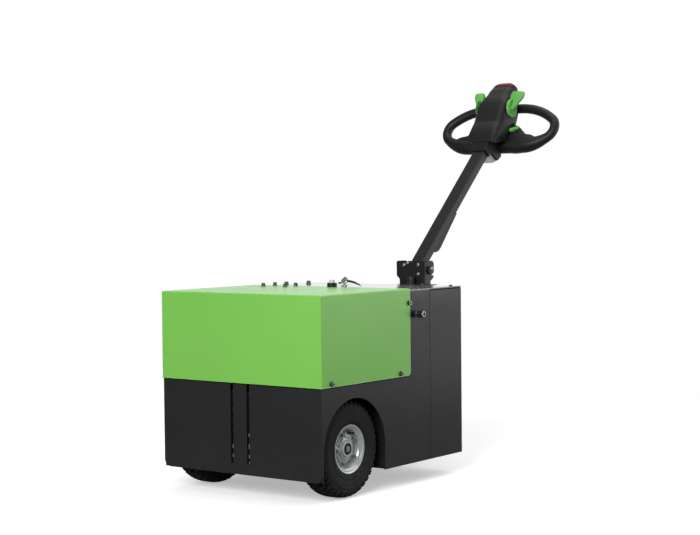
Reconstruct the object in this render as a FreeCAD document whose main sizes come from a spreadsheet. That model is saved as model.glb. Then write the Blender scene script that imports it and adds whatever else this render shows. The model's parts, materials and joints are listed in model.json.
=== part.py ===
import FreeCAD, Part
import math
import os
import Sketcher

# Electric tow tug, walked behind with a tiller.
# Frame: +Z up, -Y is the hitch end, +Y the tiller end, +X the machine's right-hand
# side seen from the hitch end. The origin is on the floor under the middle of the
# machine's bounding box. Millimetres and degrees.

SIZES = {
    # sheet-metal body
    "body_width": 548.0,
    "body_end": 665.0,          # front of the hood to the rear panel's outer face
    "deck_height": 539.0,
    "ground_gap": 59.0,
    "wall": 4.0,
    "seam_distance": 503.0,     # where the side panels end and the rear section starts
    "lid_sheet": 3.0,
    "lid_seal_height": 4.0,
    "lid_seal_inset": 1.0,
    "deck_overlap": 30.0,
    "front_corner_round": 20.0,
    # hood over the battery bay
    "hood_sheet": 3.0,
    "hood_length": 402.0,
    "hood_bottom": 303.0,
    "hood_bend": 4.0,
    "hood_corner_round": 10.0,
    # hitch slots and the perforated rail behind them
    "slot_spacing": 56.0,
    "slot_width": 9.0,
    "slot_bottom": 88.0,
    "slot_top": 335.0,
    "rail_width": 96.0,
    "rail_depth": 34.0,
    "rail_sheet": 5.0,
    "rail_hole_diameter": 8.4,
    "rail_hole_pitch": 28.0,
    "rail_first_hole": 104.0,
    "rail_holes": 8.0,
    # drive wheels
    "axle_distance": 144.0,     # front of the hood to the wheel axis
    "tyre_radius": 130.0,
    "tyre_width": 85.0,
    "wheel_centre": 219.5,
    "tyre_shoulder": 66.0,
    "bead_radius": 64.0,
    "rim_radius": 65.0,
    "rim_width": 77.0,
    "rim_sheet": 3.0,
    "barrel_radius": 50.0,
    "dish_depth": 11.0,
    "hub_radius": 21.0,
    "hub_flange_radius": 36.0,
    "hub_length": 62.0,
    "shaft_radius": 12.5,
    "running_clearance": 0.05,
    "arch_gap": 6.0,
    "arch_shift": 2.0,
    # power train under the battery
    "bay_height": 276.0,
    "bay_length": 287.0,
    "bay_inside": 165.0,
    "axle_tube_radius": 32.0,
    "axle_tube_length": 150.0,
    "axle_flange_radius": 44.0,
    "axle_flange": 8.0,
    "gear_case_radius": 66.0,
    "gear_case_half": 42.0,
    "gear_neck_radius": 58.0,
    "gear_neck_length": 92.0,
    "motor_radius": 54.0,
    "motor_length": 190.0,
    "mount_width": 22.0,
    "mount_centre": 118.0,
    "mount_length": 110.0,
    "seat_clearance": 0.3,
    # battery
    "battery_width": 420.0,
    "battery_length": 330.0,
    "battery_height": 205.0,
    "battery_distance": 40.0,
    # tail with the castor under it
    "tail_length": 240.0,
    "tail_width": 140.0,
    "tail_sheet": 4.0,
    "tail_plate": 8.0,
    "tail_drop": 14.0,          # from the deck down to the tail's top
    "tail_bottom_height": 205.0,
    # castor
    "castor_setback": 135.0,    # rear panel to the swivel axis
    "castor_radius": 75.0,
    "castor_width": 40.0,
    "castor_trail": 45.0,
    "castor_core_radius": 58.0,
    "castor_hub_radius": 20.0,
    "castor_plate": 6.0,
    "castor_plate_width": 100.0,
    "castor_race_radius": 33.0,
    "castor_race_height": 16.0,
    "castor_race_gap": 0.5,
    "king_pin_radius": 8.0,
    "fork_sheet": 4.0,
    "fork_crown_radius": 38.0,
    "fork_gap": 6.0,
    "castor_axle_radius": 6.0,
    "castor_nut_height": 8.0,
    # tiller bracket on the tail
    "bracket_setback": 145.0,   # rear panel to the bracket's front plate
    "bracket_width": 104.0,
    "bracket_length": 50.0,
    "bracket_sheet": 6.0,
    "bracket_chamfer": 11.0,
    "foot_width": 123.0,
    "bracket_rise": 28.0,       # above the hinge
    "hinge_setback": 26.0,      # behind the bracket's front face
    "hinge_rise": 50.0,         # above the tail
    "pin_radius": 8.0,
    "pin_head": 8.0,
    "stop_offset": 12.0,
    "stop_setback": 14.0,       # in front of the bracket
    "stop_radius": 11.0,
    "stop_rise": 29.0,
    # tiller arm
    "arm_angle": 43.6,
    "arm_length": 525.0,
    "arm_width": 45.0,
    "arm_depth": 25.0,
    "arm_sheet": 3.0,
    "knuckle_radius": 14.0,
    "knuckle_length": 84.0,
    "cover_start": 80.0,
    "cover_length": 190.0,
    "cover_thick_end": 20.0,
    "cover_thin_end": 8.0,
    "cover_width": 39.0,
    # tiller head, measured in the plane of the handle and forward of it
    "head_angle": 62.0,
    "head_drop": 64.3,          # that plane passes this far under the arm's end
    "head_low": 35.2,
    "chin_width": 58.0,
    "head_length": 266.0,
    "head_width": 114.0,
    "head_back": 26.0,
    "head_front": 82.0,
    "neck_width": 44.0,
    "nose_width": 80.0,
    "nose_depth": 52.0,
    "nose_centre": 24.0,
    "cap_rim": 5.0,
    "cap_height": 24.0,
    # closed handle: a thick bar below, three bends to each side, a thin bar above
    "loop_back": 5.7,
    "loop_bar_radius": 15.5,
    "loop_grip_radius": 25.0,
    "loop_low": 69.7,
    "loop_flat": 103.0,
    "loop_low_bend": 145.0,
    "loop_low_turn": 35.5,
    "loop_end_bend": 43.0,
    "loop_top_bend": 203.0,
    "loop_top_turn": 38.8,
    "web_reach": 98.0,
    "web_rise": 73.5,
    "web_fall": 15.0,
    "web_half": 20.0,
    "web_round": 6.0,
    # levers on the head
    "lever_radius": 28.0,
    "lever_sheet": 9.0,
    "lever_drop": 27.8,         # below the handle's upper bar
    "lever_sink": 32.0,         # behind the head's front face
    "paddle_sheet": 12.0,
    "paddle_rise": 62.0,
    "paddle_flare": 35.0,
    "speed_lever_height": 116.2,
    "speed_lever_reach": 30.0,
    "speed_lever_forward": 15.0,
    # controls on the body
    "button_offset": 19.0,
    "key_offset": 30.0,
    "key_setback": 30.0,        # behind the hood's rear edge
    "knob_setback": 29.0,
    "knob_height": 471.0,
    "knob_flange_radius": 10.0,
    "knob_stand": 30.0,
}

doc = FreeCAD.newDocument("tow_tug")
sheet = doc.addObject("Spreadsheet::Sheet", "Sizes")
for row, (alias, number) in enumerate(SIZES.items(), start=1):
    sheet.set(f"A{row}", alias)
    sheet.set(f"B{row}", str(number))
    sheet.setAlias(f"B{row}", alias)
doc.recompute()


class Size:
    """A length or an angle: its number, and the same as an expression of the sheet's cells."""

    def __init__(self, number, text):
        self.number = float(number)
        self.text = text

    def __add__(self, other):
        other = as_size(other)
        return Size(self.number + other.number, f"({self.text} + {other.text})")

    def __sub__(self, other):
        other = as_size(other)
        return Size(self.number - other.number, f"({self.text} - {other.text})")

    def __mul__(self, other):
        other = as_size(other)
        return Size(self.number * other.number, f"({self.text} * {other.text})")

    def __truediv__(self, other):
        other = as_size(other)
        return Size(self.number / other.number, f"({self.text} / {other.text})")

    def __neg__(self):
        return Size(-self.number, f"(0 - {self.text})")

    __radd__ = __add__
    __rmul__ = __mul__

    def __rsub__(self, other):
        return as_size(other) - self


def as_size(value):
    """Turn a plain number into a Size."""
    return value if isinstance(value, Size) else Size(value, f"{float(value):.6f}")


def cosine(angle):
    return Size(math.cos(math.radians(angle.number)), f"cos({angle.text})")


def sine(angle):
    return Size(math.sin(math.radians(angle.number)), f"sin({angle.text})")


class Cells:
    """The sheet's cells by name, as Size objects."""

    def __getattr__(self, name):
        return Size(SIZES[name], f"Sizes.{name}")


cell = Cells()
PLANES = {"XY": "XY_Plane", "XZ": "XZ_Plane", "YZ": "YZ_Plane"}
STEP_NODES = []

# The machine's whole length, from the hood's face to the handle's upper bar, puts the
# origin under the middle of it.
bracket_distance = cell.body_end + cell.bracket_setback
hinge_distance = bracket_distance + cell.hinge_setback
tail_top = cell.deck_height - cell.tail_drop
hinge_height = tail_top + cell.hinge_rise
loop_high = (cell.loop_low + cell.loop_low_bend * (1 - cosine(cell.loop_low_turn))
             + cell.loop_end_bend * (cosine(cell.loop_low_turn) + cosine(cell.loop_top_turn))
             + cell.loop_top_bend * (1 - cosine(cell.loop_top_turn)))
reach = (hinge_distance + cell.arm_length * cosine(cell.arm_angle)
         + (cell.head_drop + cell.loop_back) * sine(cell.head_angle)
         + loop_high * cosine(cell.head_angle) + cell.loop_bar_radius)
front = -reach / 2


def from_front(distance):
    """The Y coordinate of a point that lies this far behind the hood's front face."""
    return front + distance


body_half = cell.body_width / 2
axle_y = from_front(cell.axle_distance)
axle_z = cell.tyre_radius
panel_front = from_front(cell.hood_sheet)
seam_y = from_front(cell.seam_distance)
rear_y = from_front(cell.body_end)
deck_under = cell.deck_height - cell.wall


# ---------------------------------------------------------------- modelling helpers

def new_body(label):
    """A PartDesign body that is written to its own STEP file."""
    body = doc.addObject("PartDesign::Body", label)
    body.Label = label
    STEP_NODES.append(body)
    return body


def bind(obj, path, value):
    """Set a property and tie it to the sheet."""
    obj.setExpression(path, as_size(value).text)


def place(obj, x=0.0, y=0.0, z=0.0, tilt=None):
    """Put an object at a point, and tilt it about X."""
    turn = FreeCAD.Rotation(FreeCAD.Vector(1, 0, 0), 0.0)
    if tilt is not None:
        turn = FreeCAD.Rotation(FreeCAD.Vector(1, 0, 0), tilt.number)
    at = FreeCAD.Vector(as_size(x).number, as_size(y).number, as_size(z).number)
    obj.Placement = FreeCAD.Placement(at, turn)
    for letter, value in (("x", x), ("y", y), ("z", z)):
        bind(obj, f"Placement.Base.{letter}", value)
    if tilt is not None:
        bind(obj, "Placement.Rotation.Angle", tilt)


def new_sketch(body, plane, offset=0.0):
    """A sketch on one of the body's origin planes, moved along that plane's axis."""
    sketch = body.newObject("Sketcher::SketchObject", "Sketch")
    origin = [item for item in body.Origin.OriginFeatures if item.Role == PLANES[plane]][0]
    sketch.AttachmentSupport = [(origin, "")]
    sketch.MapMode = "FlatFace"
    shift = -as_size(offset) if plane == "XZ" else as_size(offset)
    sketch.AttachmentOffset = FreeCAD.Placement(
        FreeCAD.Vector(0, 0, shift.number), FreeCAD.Rotation())
    bind(sketch, "AttachmentOffset.Base.z", shift)
    return sketch


def pin_point(sketch, curve, end, x, y):
    """Hold a point of the sketch at two distances from the sketch's origin."""
    for kind, value in (("DistanceX", as_size(x)), ("DistanceY", as_size(y))):
        number = sketch.addConstraint(
            Sketcher.Constraint(kind, -1, 1, curve, end, value.number))
        sketch.setExpression(f"Constraints[{number}]", value.text)


def vector(point):
    return FreeCAD.Vector(as_size(point[0]).number, as_size(point[1]).number, 0)


def polygon(sketch, points):
    """A closed outline of straight lines."""
    first = sketch.GeometryCount
    for here, there in zip(points, points[1:] + points[:1]):
        sketch.addGeometry(Part.LineSegment(vector(here), vector(there)), False)
    for step in range(len(points)):
        after = (step + 1) % len(points)
        sketch.addConstraint(
            Sketcher.Constraint("Coincident", first + step, 2, first + after, 1))
    for step, (x, y) in enumerate(points):
        pin_point(sketch, first + step, 1, x, y)


def rectangle(sketch, left, low, right, high):
    polygon(sketch, [(left, low), (right, low), (right, high), (left, high)])


def circle(sketch, x, y, radius):
    number = sketch.addGeometry(
        Part.Circle(vector((x, y)), FreeCAD.Vector(0, 0, 1), as_size(radius).number), False)
    pin_point(sketch, number, 3, x, y)
    held = sketch.addConstraint(
        Sketcher.Constraint("Radius", number, as_size(radius).number))
    sketch.setExpression(f"Constraints[{held}]", as_size(radius).text)


def pad(body, sketch, length, middle=False):
    """Grow the sketch along +X, +Y or +Z, or to both sides of its plane."""
    feature = body.newObject("PartDesign::Pad", "Pad")
    feature.Profile = sketch
    bind(feature, "Length", length)
    feature.Midplane = middle
    feature.Reversed = sketch.AttachmentSupport[0][0].Role == "XZ_Plane" and not middle
    sketch.Visibility = False
    return feature


def pocket(body, sketch, length=None):
    """Cut the sketch through all of the body, or to a depth along +X, +Y or +Z."""
    feature = body.newObject("PartDesign::Pocket", "Pocket")
    feature.Profile = sketch
    if length is None:
        feature.Type = "ThroughAll"
        feature.Midplane = True
    else:
        bind(feature, "Length", length)
        feature.Reversed = sketch.AttachmentSupport[0][0].Role != "XZ_Plane"
    sketch.Visibility = False
    return feature


def turned(label, outline, x=0.0, y=0.0, z=0.0, plane="XY", axis="H_Axis"):
    """A body turned about the sketch's own axis, which runs through the given point."""
    body = new_body(label)
    sketch = new_sketch(body, plane)
    polygon(sketch, outline)
    feature = body.newObject("PartDesign::Revolution", "Revolution")
    feature.Profile = sketch
    feature.ReferenceAxis = (sketch, [axis])
    feature.Angle = 360.0
    place(body, x, y, z)
    return body


def plate(label, plane, outline, offset, thickness):
    """A flat plate: an outline on a plane, as thick as given towards the plane's plus side."""
    body = new_body(label)
    sketch = new_sketch(body, plane, offset)
    polygon(sketch, outline)
    pad(body, sketch, thickness)
    return body


def smooth_outline(sketch, points):
    """A closed outline, counter-clockwise, of points (x, y, bend): a bend is the radius of
    the arc that leads to the next point, and None leads there straight."""
    first = sketch.GeometryCount
    for (x, y, bend), (next_x, next_y, _) in zip(points, points[1:] + points[:1]):
        start, end = vector((x, y)), vector((next_x, next_y))
        if bend is None:
            sketch.addGeometry(Part.LineSegment(start, end), False)
            continue
        radius = as_size(bend).number
        chord = end - start
        outward = FreeCAD.Vector(chord.y, -chord.x, 0).normalize()
        bulge = radius - math.sqrt(radius ** 2 - chord.Length ** 2 / 4)
        middle = (start + end) / 2 + outward * bulge
        number = sketch.addGeometry(Part.Arc(start, middle, end), False)
        held = sketch.addConstraint(Sketcher.Constraint("Radius", number, radius))
        sketch.setExpression(f"Constraints[{held}]", as_size(bend).text)
    for step, (x, y, _) in enumerate(points):
        after = (step + 1) % len(points)
        sketch.addConstraint(
            Sketcher.Constraint("Coincident", first + step, 2, first + after, 1))
        pin_point(sketch, first + step, 1, x, y)


def rounded_rectangle(sketch, left, low, right, high, bend, low_bend):
    smooth_outline(sketch, [
        (left + low_bend, low, None), (right - low_bend, low, low_bend),
        (right, low + low_bend, None), (right, high - bend, bend),
        (right - bend, high, None), (left + bend, high, bend),
        (left, high - bend, None), (left, low + low_bend, low_bend)])


def box_outline(left, low, right, high):
    return [(left, low), (right, low), (right, high), (left, high)]


def edges_where(body, test):
    """Names of the edges of the body's last shape whose ends and direction pass a test."""
    doc.recompute()
    shape = body.Tip.Shape
    names = []
    for number, edge in enumerate(shape.Edges, start=1):
        if len(edge.Vertexes) != 2:
            continue
        start, end = edge.Vertexes[0].Point, edge.Vertexes[1].Point
        span = end - start
        if span.Length < 1e-6:
            continue
        if test(start, end, span.normalize()):
            names.append(f"Edge{number}")
    return names


def round_edges(body, radius, test):
    """Fillet the edges that pass the test."""
    names = edges_where(body, test)
    carrier = body.Tip
    feature = body.newObject("PartDesign::Fillet", "Fillet")
    feature.Base = (carrier, names)
    bind(feature, "Radius", radius)
    return feature


def near(value, target):
    return abs(value - as_size(target).number) < 0.01


# ---------------------------------------------------------------- sheet-metal body

def make_front_panel():
    """The dark front sheet with its two hitch slots and rounded lower corners."""
    body = plate("front_panel", "XZ",
                 box_outline(-body_half, cell.ground_gap, body_half, deck_under),
                 panel_front, cell.wall)
    low = cell.ground_gap.number
    round_edges(body, cell.front_corner_round,
                lambda a, b, way: abs(way.y) > 0.99 and near(a.z, low))
    for side in (-1, 1):
        sketch = new_sketch(body, "XZ", panel_front)
        centre = cell.slot_spacing / 2 * side
        half = cell.slot_width / 2
        rectangle(sketch, centre - half, cell.slot_bottom, centre + half, cell.slot_top)
        pocket(body, sketch)
    return body


def make_side_panel(label, side):
    """One side sheet, with the arch that the drive wheel shows through."""
    inner = body_half - cell.wall
    offset = inner if side > 0 else -body_half
    start = panel_front + cell.wall
    body = plate(label, "YZ", box_outline(start, cell.ground_gap, seam_y, deck_under),
                 offset, cell.wall)
    middle = axle_y + cell.arch_shift
    radius = cell.tyre_radius + cell.arch_gap
    arch = new_sketch(body, "YZ", offset)
    circle(arch, middle, axle_z, radius)
    pocket(body, arch)
    gap = new_sketch(body, "YZ", offset)
    rectangle(gap, middle - radius, cell.ground_gap - cell.wall, middle + radius, axle_z)
    pocket(body, gap)
    return body


def make_deck():
    """The top sheet behind the battery bay; the hood's rear edge rests on it."""
    start = from_front(cell.hood_length) - cell.deck_overlap
    return plate("deck_plate", "XY", box_outline(-body_half, start, body_half, seam_y),
                 deck_under, cell.wall)


def make_rear_section():
    """The boxed rear end: two sides, the rear panel, the lid and the seal under it."""
    seal_top = cell.deck_height - cell.lid_sheet
    seal_under = seal_top - cell.lid_seal_height
    inner = body_half - cell.wall
    for label, offset in (("rear_side_right", inner), ("rear_side_left", -body_half)):
        plate(label, "YZ", box_outline(seam_y, cell.ground_gap, rear_y, seal_under),
              offset, cell.wall)
    plate("rear_panel", "XZ", box_outline(-inner, cell.ground_gap, inner, seal_under),
          rear_y - cell.wall, cell.wall)
    plate("rear_lid", "XY", box_outline(-body_half, seam_y, body_half, rear_y),
          seal_top, cell.lid_sheet)
    edge = cell.lid_seal_inset
    plate("lid_seal", "XY",
          box_outline(-body_half + edge, seam_y, body_half - edge, rear_y - edge),
          seal_under, cell.lid_seal_height)


def make_belly_pan():
    """The floor of the body, cut back beside the drive wheels."""
    inner = body_half - cell.wall
    narrow = cell.bay_inside
    bay_end = panel_front + cell.bay_length
    start = panel_front + cell.wall
    end = rear_y - cell.wall
    outline = [(-narrow, start), (narrow, start), (narrow, bay_end), (inner, bay_end),
               (inner, end), (-inner, end), (-inner, bay_end), (-narrow, bay_end)]
    return plate("belly_pan", "XY", outline, cell.ground_gap, cell.hood_sheet)


def make_bay_walls():
    """Upright sheets behind the drive wheels, and the battery tray over them."""
    inner = body_half - cell.wall
    bay_end = panel_front + cell.bay_length
    low = cell.ground_gap + cell.hood_sheet
    for label, left, right in (("bay_wall_right", cell.bay_inside, inner),
                               ("bay_wall_left", -inner, -cell.bay_inside)):
        plate(label, "XZ", box_outline(left, low, right, cell.bay_height),
              bay_end, cell.wall)
    plate("battery_tray", "XY",
          box_outline(-inner, panel_front + cell.wall, inner,
                      from_front(cell.hood_length)),
          cell.bay_height, cell.wall)


def make_hood():
    """The bent sheet hood: closed on top, in front and at both sides, open below and behind."""
    outer = body_half + cell.hood_sheet
    end = from_front(cell.hood_length)
    top = cell.deck_height + cell.hood_sheet
    body = new_body("hood")
    sketch = new_sketch(body, "XY", cell.hood_bottom)
    rectangle(sketch, -outer, front, outer, end)
    pad(body, sketch, top - cell.hood_bottom)
    outside = outer.number
    round_edges(body, cell.hood_bend,
                lambda a, b, way: (abs(way.z) > 0.99 and near(a.y, front))
                or (near(a.z, top) and near(b.z, top) and not near(a.y + b.y, end * 2)))
    inside = new_sketch(body, "XY", cell.hood_bottom)
    rectangle(inside, -body_half, panel_front, body_half, end + cell.wall)
    pocket(body, inside, cell.deck_height - cell.hood_bottom)
    low = cell.hood_bottom.number
    round_edges(body, cell.hood_corner_round,
                lambda a, b, way: abs(way.x) > 0.99 and near(a.z, low) and near(a.y, end)
                and abs(a.x) > outside - 5)
    return body


# ---------------------------------------------------------------- hitch rail

def make_hitch_rail():
    """A channel behind the slots; a hitch bolts to its two rows of holes at any height."""
    body = new_body("hitch_rail")
    back = panel_front + cell.wall
    half = cell.rail_width / 2
    sheet_in = cell.rail_sheet
    outline = [(-half, back), (half, back), (half, back + cell.rail_depth),
               (half - sheet_in, back + cell.rail_depth), (half - sheet_in, back + sheet_in),
               (-half + sheet_in, back + sheet_in), (-half + sheet_in, back + cell.rail_depth),
               (-half, back + cell.rail_depth)]
    base = new_sketch(body, "XY", cell.ground_gap + cell.hood_sheet)
    polygon(base, outline)
    pad(body, base, cell.bay_height - cell.ground_gap - cell.hood_sheet)
    holes = new_sketch(body, "XZ", back)
    for side in (-1, 1):
        circle(holes, cell.slot_spacing / 2 * side, cell.rail_first_hole,
               cell.rail_hole_diameter / 2)
    cut = pocket(body, holes, cell.rail_sheet * 2)
    doc.recompute()
    rows = body.newObject("PartDesign::LinearPattern", "HoleRows")
    rows.Originals = [cut]
    rows.Direction = (holes, ["V_Axis"])
    rows.Mode = "Spacing"
    bind(rows, "Offset", cell.rail_hole_pitch)
    rows.Occurrences = 2
    highest = cell.bay_height - cell.rail_hole_diameter
    fitting = (highest.number - cell.rail_first_hole.number) / cell.rail_hole_pitch.number
    rows.Occurrences = int(min(cell.rail_holes.number, 1 + fitting))
    body.Tip = rows
    return body


# ---------------------------------------------------------------- power train

def make_transaxle():
    """The differential with its axle tubes, flanges and shafts, and the motor's neck."""
    case = cell.gear_case_radius
    tube = cell.axle_tube_radius
    flange_in = cell.axle_tube_length
    flange_out = flange_in + cell.axle_flange
    shaft_end = cell.wheel_centre + cell.hub_length / 2 - 4
    half = [(cell.gear_case_half, case), (cell.gear_case_half + 26, tube), (flange_in, tube),
            (flange_in, cell.axle_flange_radius), (flange_out, cell.axle_flange_radius),
            (flange_out, cell.shaft_radius), (shaft_end, cell.shaft_radius), (shaft_end, as_size(0))]
    mirrored = [(-x, radius) for x, radius in reversed(half)]
    body = turned("transaxle", mirrored + half, 0.0, axle_y, axle_z)
    neck = new_sketch(body, "XZ", 0.0)
    circle(neck, 0.0, 0.0, cell.gear_neck_radius)
    pad(body, neck, cell.gear_neck_length)
    return body


def make_motor():
    """The drive motor behind the transaxle, with a flange and an end cap."""
    radius = cell.motor_radius
    length = cell.motor_length
    outline = [(as_size(0), as_size(0)), (radius + 4, as_size(0)), (radius + 4, as_size(8)),
               (radius, as_size(8)), (radius, length - 30), (radius - 3, length - 30),
               (radius - 3, length), (as_size(0), length)]
    return turned("drive_motor", outline, 0.0, axle_y + cell.gear_neck_length, axle_z,
                  axis="V_Axis")


def make_axle_mount(label, side):
    """A saddle that stands on the belly pan and holds one axle tube."""
    floor = cell.ground_gap + cell.hood_sheet
    half = cell.mount_length / 2
    shoulder = cell.axle_tube_radius + 16
    offset = cell.mount_centre * side - cell.mount_width / 2
    outline = [(axle_y - half, floor), (axle_y + half, floor), (axle_y + half, floor + 12),
               (axle_y + shoulder, axle_z + 10), (axle_y + shoulder - 18, axle_z + shoulder),
               (axle_y - shoulder + 18, axle_z + shoulder), (axle_y - shoulder, axle_z + 10),
               (axle_y - half, floor + 12)]
    body = plate(label, "YZ", outline, offset, cell.mount_width)
    bore = new_sketch(body, "YZ", offset)
    circle(bore, axle_y, axle_z, cell.axle_tube_radius + cell.seat_clearance)
    pocket(body, bore)
    return body


def make_battery():
    """The battery pack as one plain block on its tray."""
    start = from_front(cell.battery_distance)
    half = cell.battery_width / 2
    return plate("battery_pack", "XY",
                 box_outline(-half, start, half, start + cell.battery_length),
                 cell.bay_height + cell.wall, cell.battery_height)


# ---------------------------------------------------------------- drive wheels

def make_drive_wheel(name, side):
    """Tyre, pressed rim and hub of one drive wheel, turned about the axle."""
    half = cell.tyre_width / 2
    centre = cell.wheel_centre * side
    bead_half = cell.rim_width / 2 - cell.rim_sheet
    crown = cell.tyre_radius
    bulge = (cell.tyre_radius + cell.bead_radius) / 2
    shoulder = cell.tyre_shoulder / 2
    tyre = [(-bead_half, cell.barrel_radius), (bead_half, cell.barrel_radius),
            (bead_half, cell.bead_radius), (bead_half + 2, cell.bead_radius + 4),
            (half - 1, bulge - 10), (half, bulge), (half - 1.5, crown - 16),
            (shoulder + 2, crown - 5), (shoulder - 5, crown - 2), (shoulder - 18, crown),
            (-shoulder + 18, crown), (-shoulder + 5, crown - 2), (-shoulder - 2, crown - 5),
            (-half + 1.5, crown - 16), (-half, bulge), (-half + 1, bulge - 10),
            (-bead_half - 2, cell.bead_radius + 4), (-bead_half, cell.bead_radius)]
    turned(f"{name}_tyre", tyre, centre, axle_y, axle_z)
    rim_half = cell.rim_width / 2
    metal = cell.rim_sheet
    barrel = cell.barrel_radius
    outer = rim_half - cell.dish_depth
    disc_out = outer * side
    disc_in = (outer - metal * 2) * side
    near_face, far_face = (disc_in, disc_out) if side > 0 else (disc_out, disc_in)
    edge = cell.rim_radius
    hub_hole = cell.hub_radius + cell.seat_clearance
    rim = [(-rim_half, edge), (-rim_half, edge - metal), (-rim_half + metal, barrel - metal),
           (near_face, barrel - metal), (near_face, hub_hole), (far_face, hub_hole),
           (far_face, barrel - metal), (rim_half - metal, barrel - metal),
           (rim_half, edge - metal), (rim_half, edge), (rim_half - metal, edge),
           (rim_half - metal, barrel), (-rim_half + metal, barrel), (-rim_half + metal, edge)]
    turned(f"{name}_rim", rim, centre, axle_y, axle_z)
    reach_out = cell.hub_length / 2
    bore = cell.shaft_radius + cell.running_clearance
    behind = near_face if side > 0 else far_face
    before = behind - 8 * side
    flange = cell.hub_flange_radius
    low, high = (before, behind) if side > 0 else (behind, before)
    hub = [(-reach_out, bore), (reach_out, bore), (reach_out, cell.hub_radius),
           (high, cell.hub_radius), (high, flange), (low, flange), (low, cell.hub_radius),
           (-reach_out, cell.hub_radius)]
    turned(f"{name}_hub", hub, centre, axle_y, axle_z)


# ---------------------------------------------------------------- tail and castor

tail_end = rear_y + cell.tail_length
tail_half = cell.tail_width / 2
castor_y = from_front(cell.body_end + cell.castor_setback)


def make_tail():
    """The welded box behind the body that carries the tiller above and the castor below."""
    body = new_body("tail_frame")
    low = cell.tail_bottom_height
    side = new_sketch(body, "YZ", 0.0)
    rectangle(side, rear_y, low, tail_end, tail_top)
    pad(body, side, cell.tail_width, middle=True)
    inside = new_sketch(body, "XZ", rear_y)
    inner = tail_half - cell.tail_sheet
    rectangle(inside, -inner, low + cell.tail_plate, inner,
              tail_top - cell.tail_plate)
    pocket(body, inside, cell.tail_length - cell.tail_sheet)
    return body


def make_castor_head():
    """The castor's fixed head: mounting plate, upper race and king pin."""
    half = cell.castor_plate_width / 2
    top = cell.tail_bottom_height
    body = new_body("castor_head")
    base = new_sketch(body, "XY", top - cell.castor_plate)
    rectangle(base, -half, castor_y - half, half, castor_y + half)
    pad(body, base, cell.castor_plate)
    race = new_sketch(body, "XY", top - cell.castor_plate - cell.castor_race_height)
    circle(race, 0.0, castor_y, cell.castor_race_radius)
    pad(body, race, cell.castor_race_height)
    pin_low = fork_crown_top() - cell.fork_sheet - 6
    pin = new_sketch(body, "XY", pin_low)
    circle(pin, 0.0, castor_y, cell.king_pin_radius)
    pad(body, pin, top - pin_low)
    return body


def fork_crown_top():
    """Height of the fork crown's top face, just under the fixed race."""
    return (cell.tail_bottom_height - cell.castor_plate - cell.castor_race_height
            - cell.castor_race_gap)


def make_castor_fork():
    """The pressed fork: a crown plate and two legs that lean back to the wheel axle."""
    top = fork_crown_top()
    low = top - cell.fork_sheet
    wheel_y = castor_y - cell.castor_trail
    leg_in = cell.castor_width / 2 + cell.fork_gap
    leg_out = leg_in + cell.fork_sheet
    body = new_body("castor_fork")
    crown = new_sketch(body, "XY", low)
    circle(crown, 0.0, castor_y, cell.fork_crown_radius)
    pad(body, crown, cell.fork_sheet)
    hole = new_sketch(body, "XY", low)
    circle(hole, 0.0, castor_y, cell.king_pin_radius + cell.running_clearance)
    pocket(body, hole)
    spread = cell.castor_hub_radius - 4
    drop = cell.castor_radius - spread
    outline = [(castor_y - 34, top), (castor_y + 20, top), (castor_y + 20, low - 12),
               (wheel_y + spread, drop + 8), (wheel_y + 8, drop), (wheel_y - 8, drop),
               (wheel_y - spread, drop + 8), (wheel_y - spread, cell.castor_radius + 20)]
    for offset in (leg_in, -leg_out):
        leg = new_sketch(body, "YZ", offset)
        polygon(leg, outline)
        pad(body, leg, cell.fork_sheet)
        eye = new_sketch(body, "YZ", offset)
        circle(eye, wheel_y, cell.castor_radius, cell.castor_axle_radius)
        pocket(body, eye, cell.fork_sheet)
    return body


def make_castor_axle():
    """The bolt through the fork and the castor wheel, with its head and nut."""
    leg_out = cell.castor_width / 2 + cell.fork_gap + cell.fork_sheet
    shank = cell.castor_axle_radius
    head = shank * 1.7
    end = leg_out + cell.castor_nut_height
    outline = [(-end, as_size(0)), (-end, head), (-leg_out, head), (-leg_out, shank),
               (leg_out, shank), (leg_out, head), (end, head), (end, as_size(0))]
    return turned("castor_axle", outline, 0.0, castor_y - cell.castor_trail,
                  cell.castor_radius)


def make_castor_wheel():
    """Core and solid rubber tyre of the castor wheel."""
    half = cell.castor_width / 2
    core = cell.castor_core_radius
    hub_half = half + cell.fork_gap - cell.seat_clearance
    bore = cell.castor_axle_radius + cell.running_clearance
    hub = cell.castor_hub_radius
    web = half - 10
    outline = [(-hub_half, bore), (hub_half, bore), (hub_half, hub), (web, hub + 4),
               (web, core - 8), (half - 3, core - 6), (half - 3, core), (-half + 3, core),
               (-half + 3, core - 6), (-web, core - 8), (-web, hub + 4), (-hub_half, hub)]
    wheel_y = castor_y - cell.castor_trail
    turned("castor_core", outline, 0.0, wheel_y, cell.castor_radius)
    outer = cell.castor_radius
    tyre = [(-half + 3, core), (half - 3, core), (half, core + 4), (half, outer - 7),
            (half - 5, outer - 1), (half - 9, outer), (-half + 9, outer), (-half + 5, outer - 1),
            (-half, outer - 7), (-half, core + 4)]
    turned("castor_tyre", tyre, 0.0, wheel_y, cell.castor_radius)


# ---------------------------------------------------------------- tiller bracket

bracket_y = from_front(bracket_distance)
hinge_y = from_front(hinge_distance)
bracket_top = hinge_height + cell.bracket_rise


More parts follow.
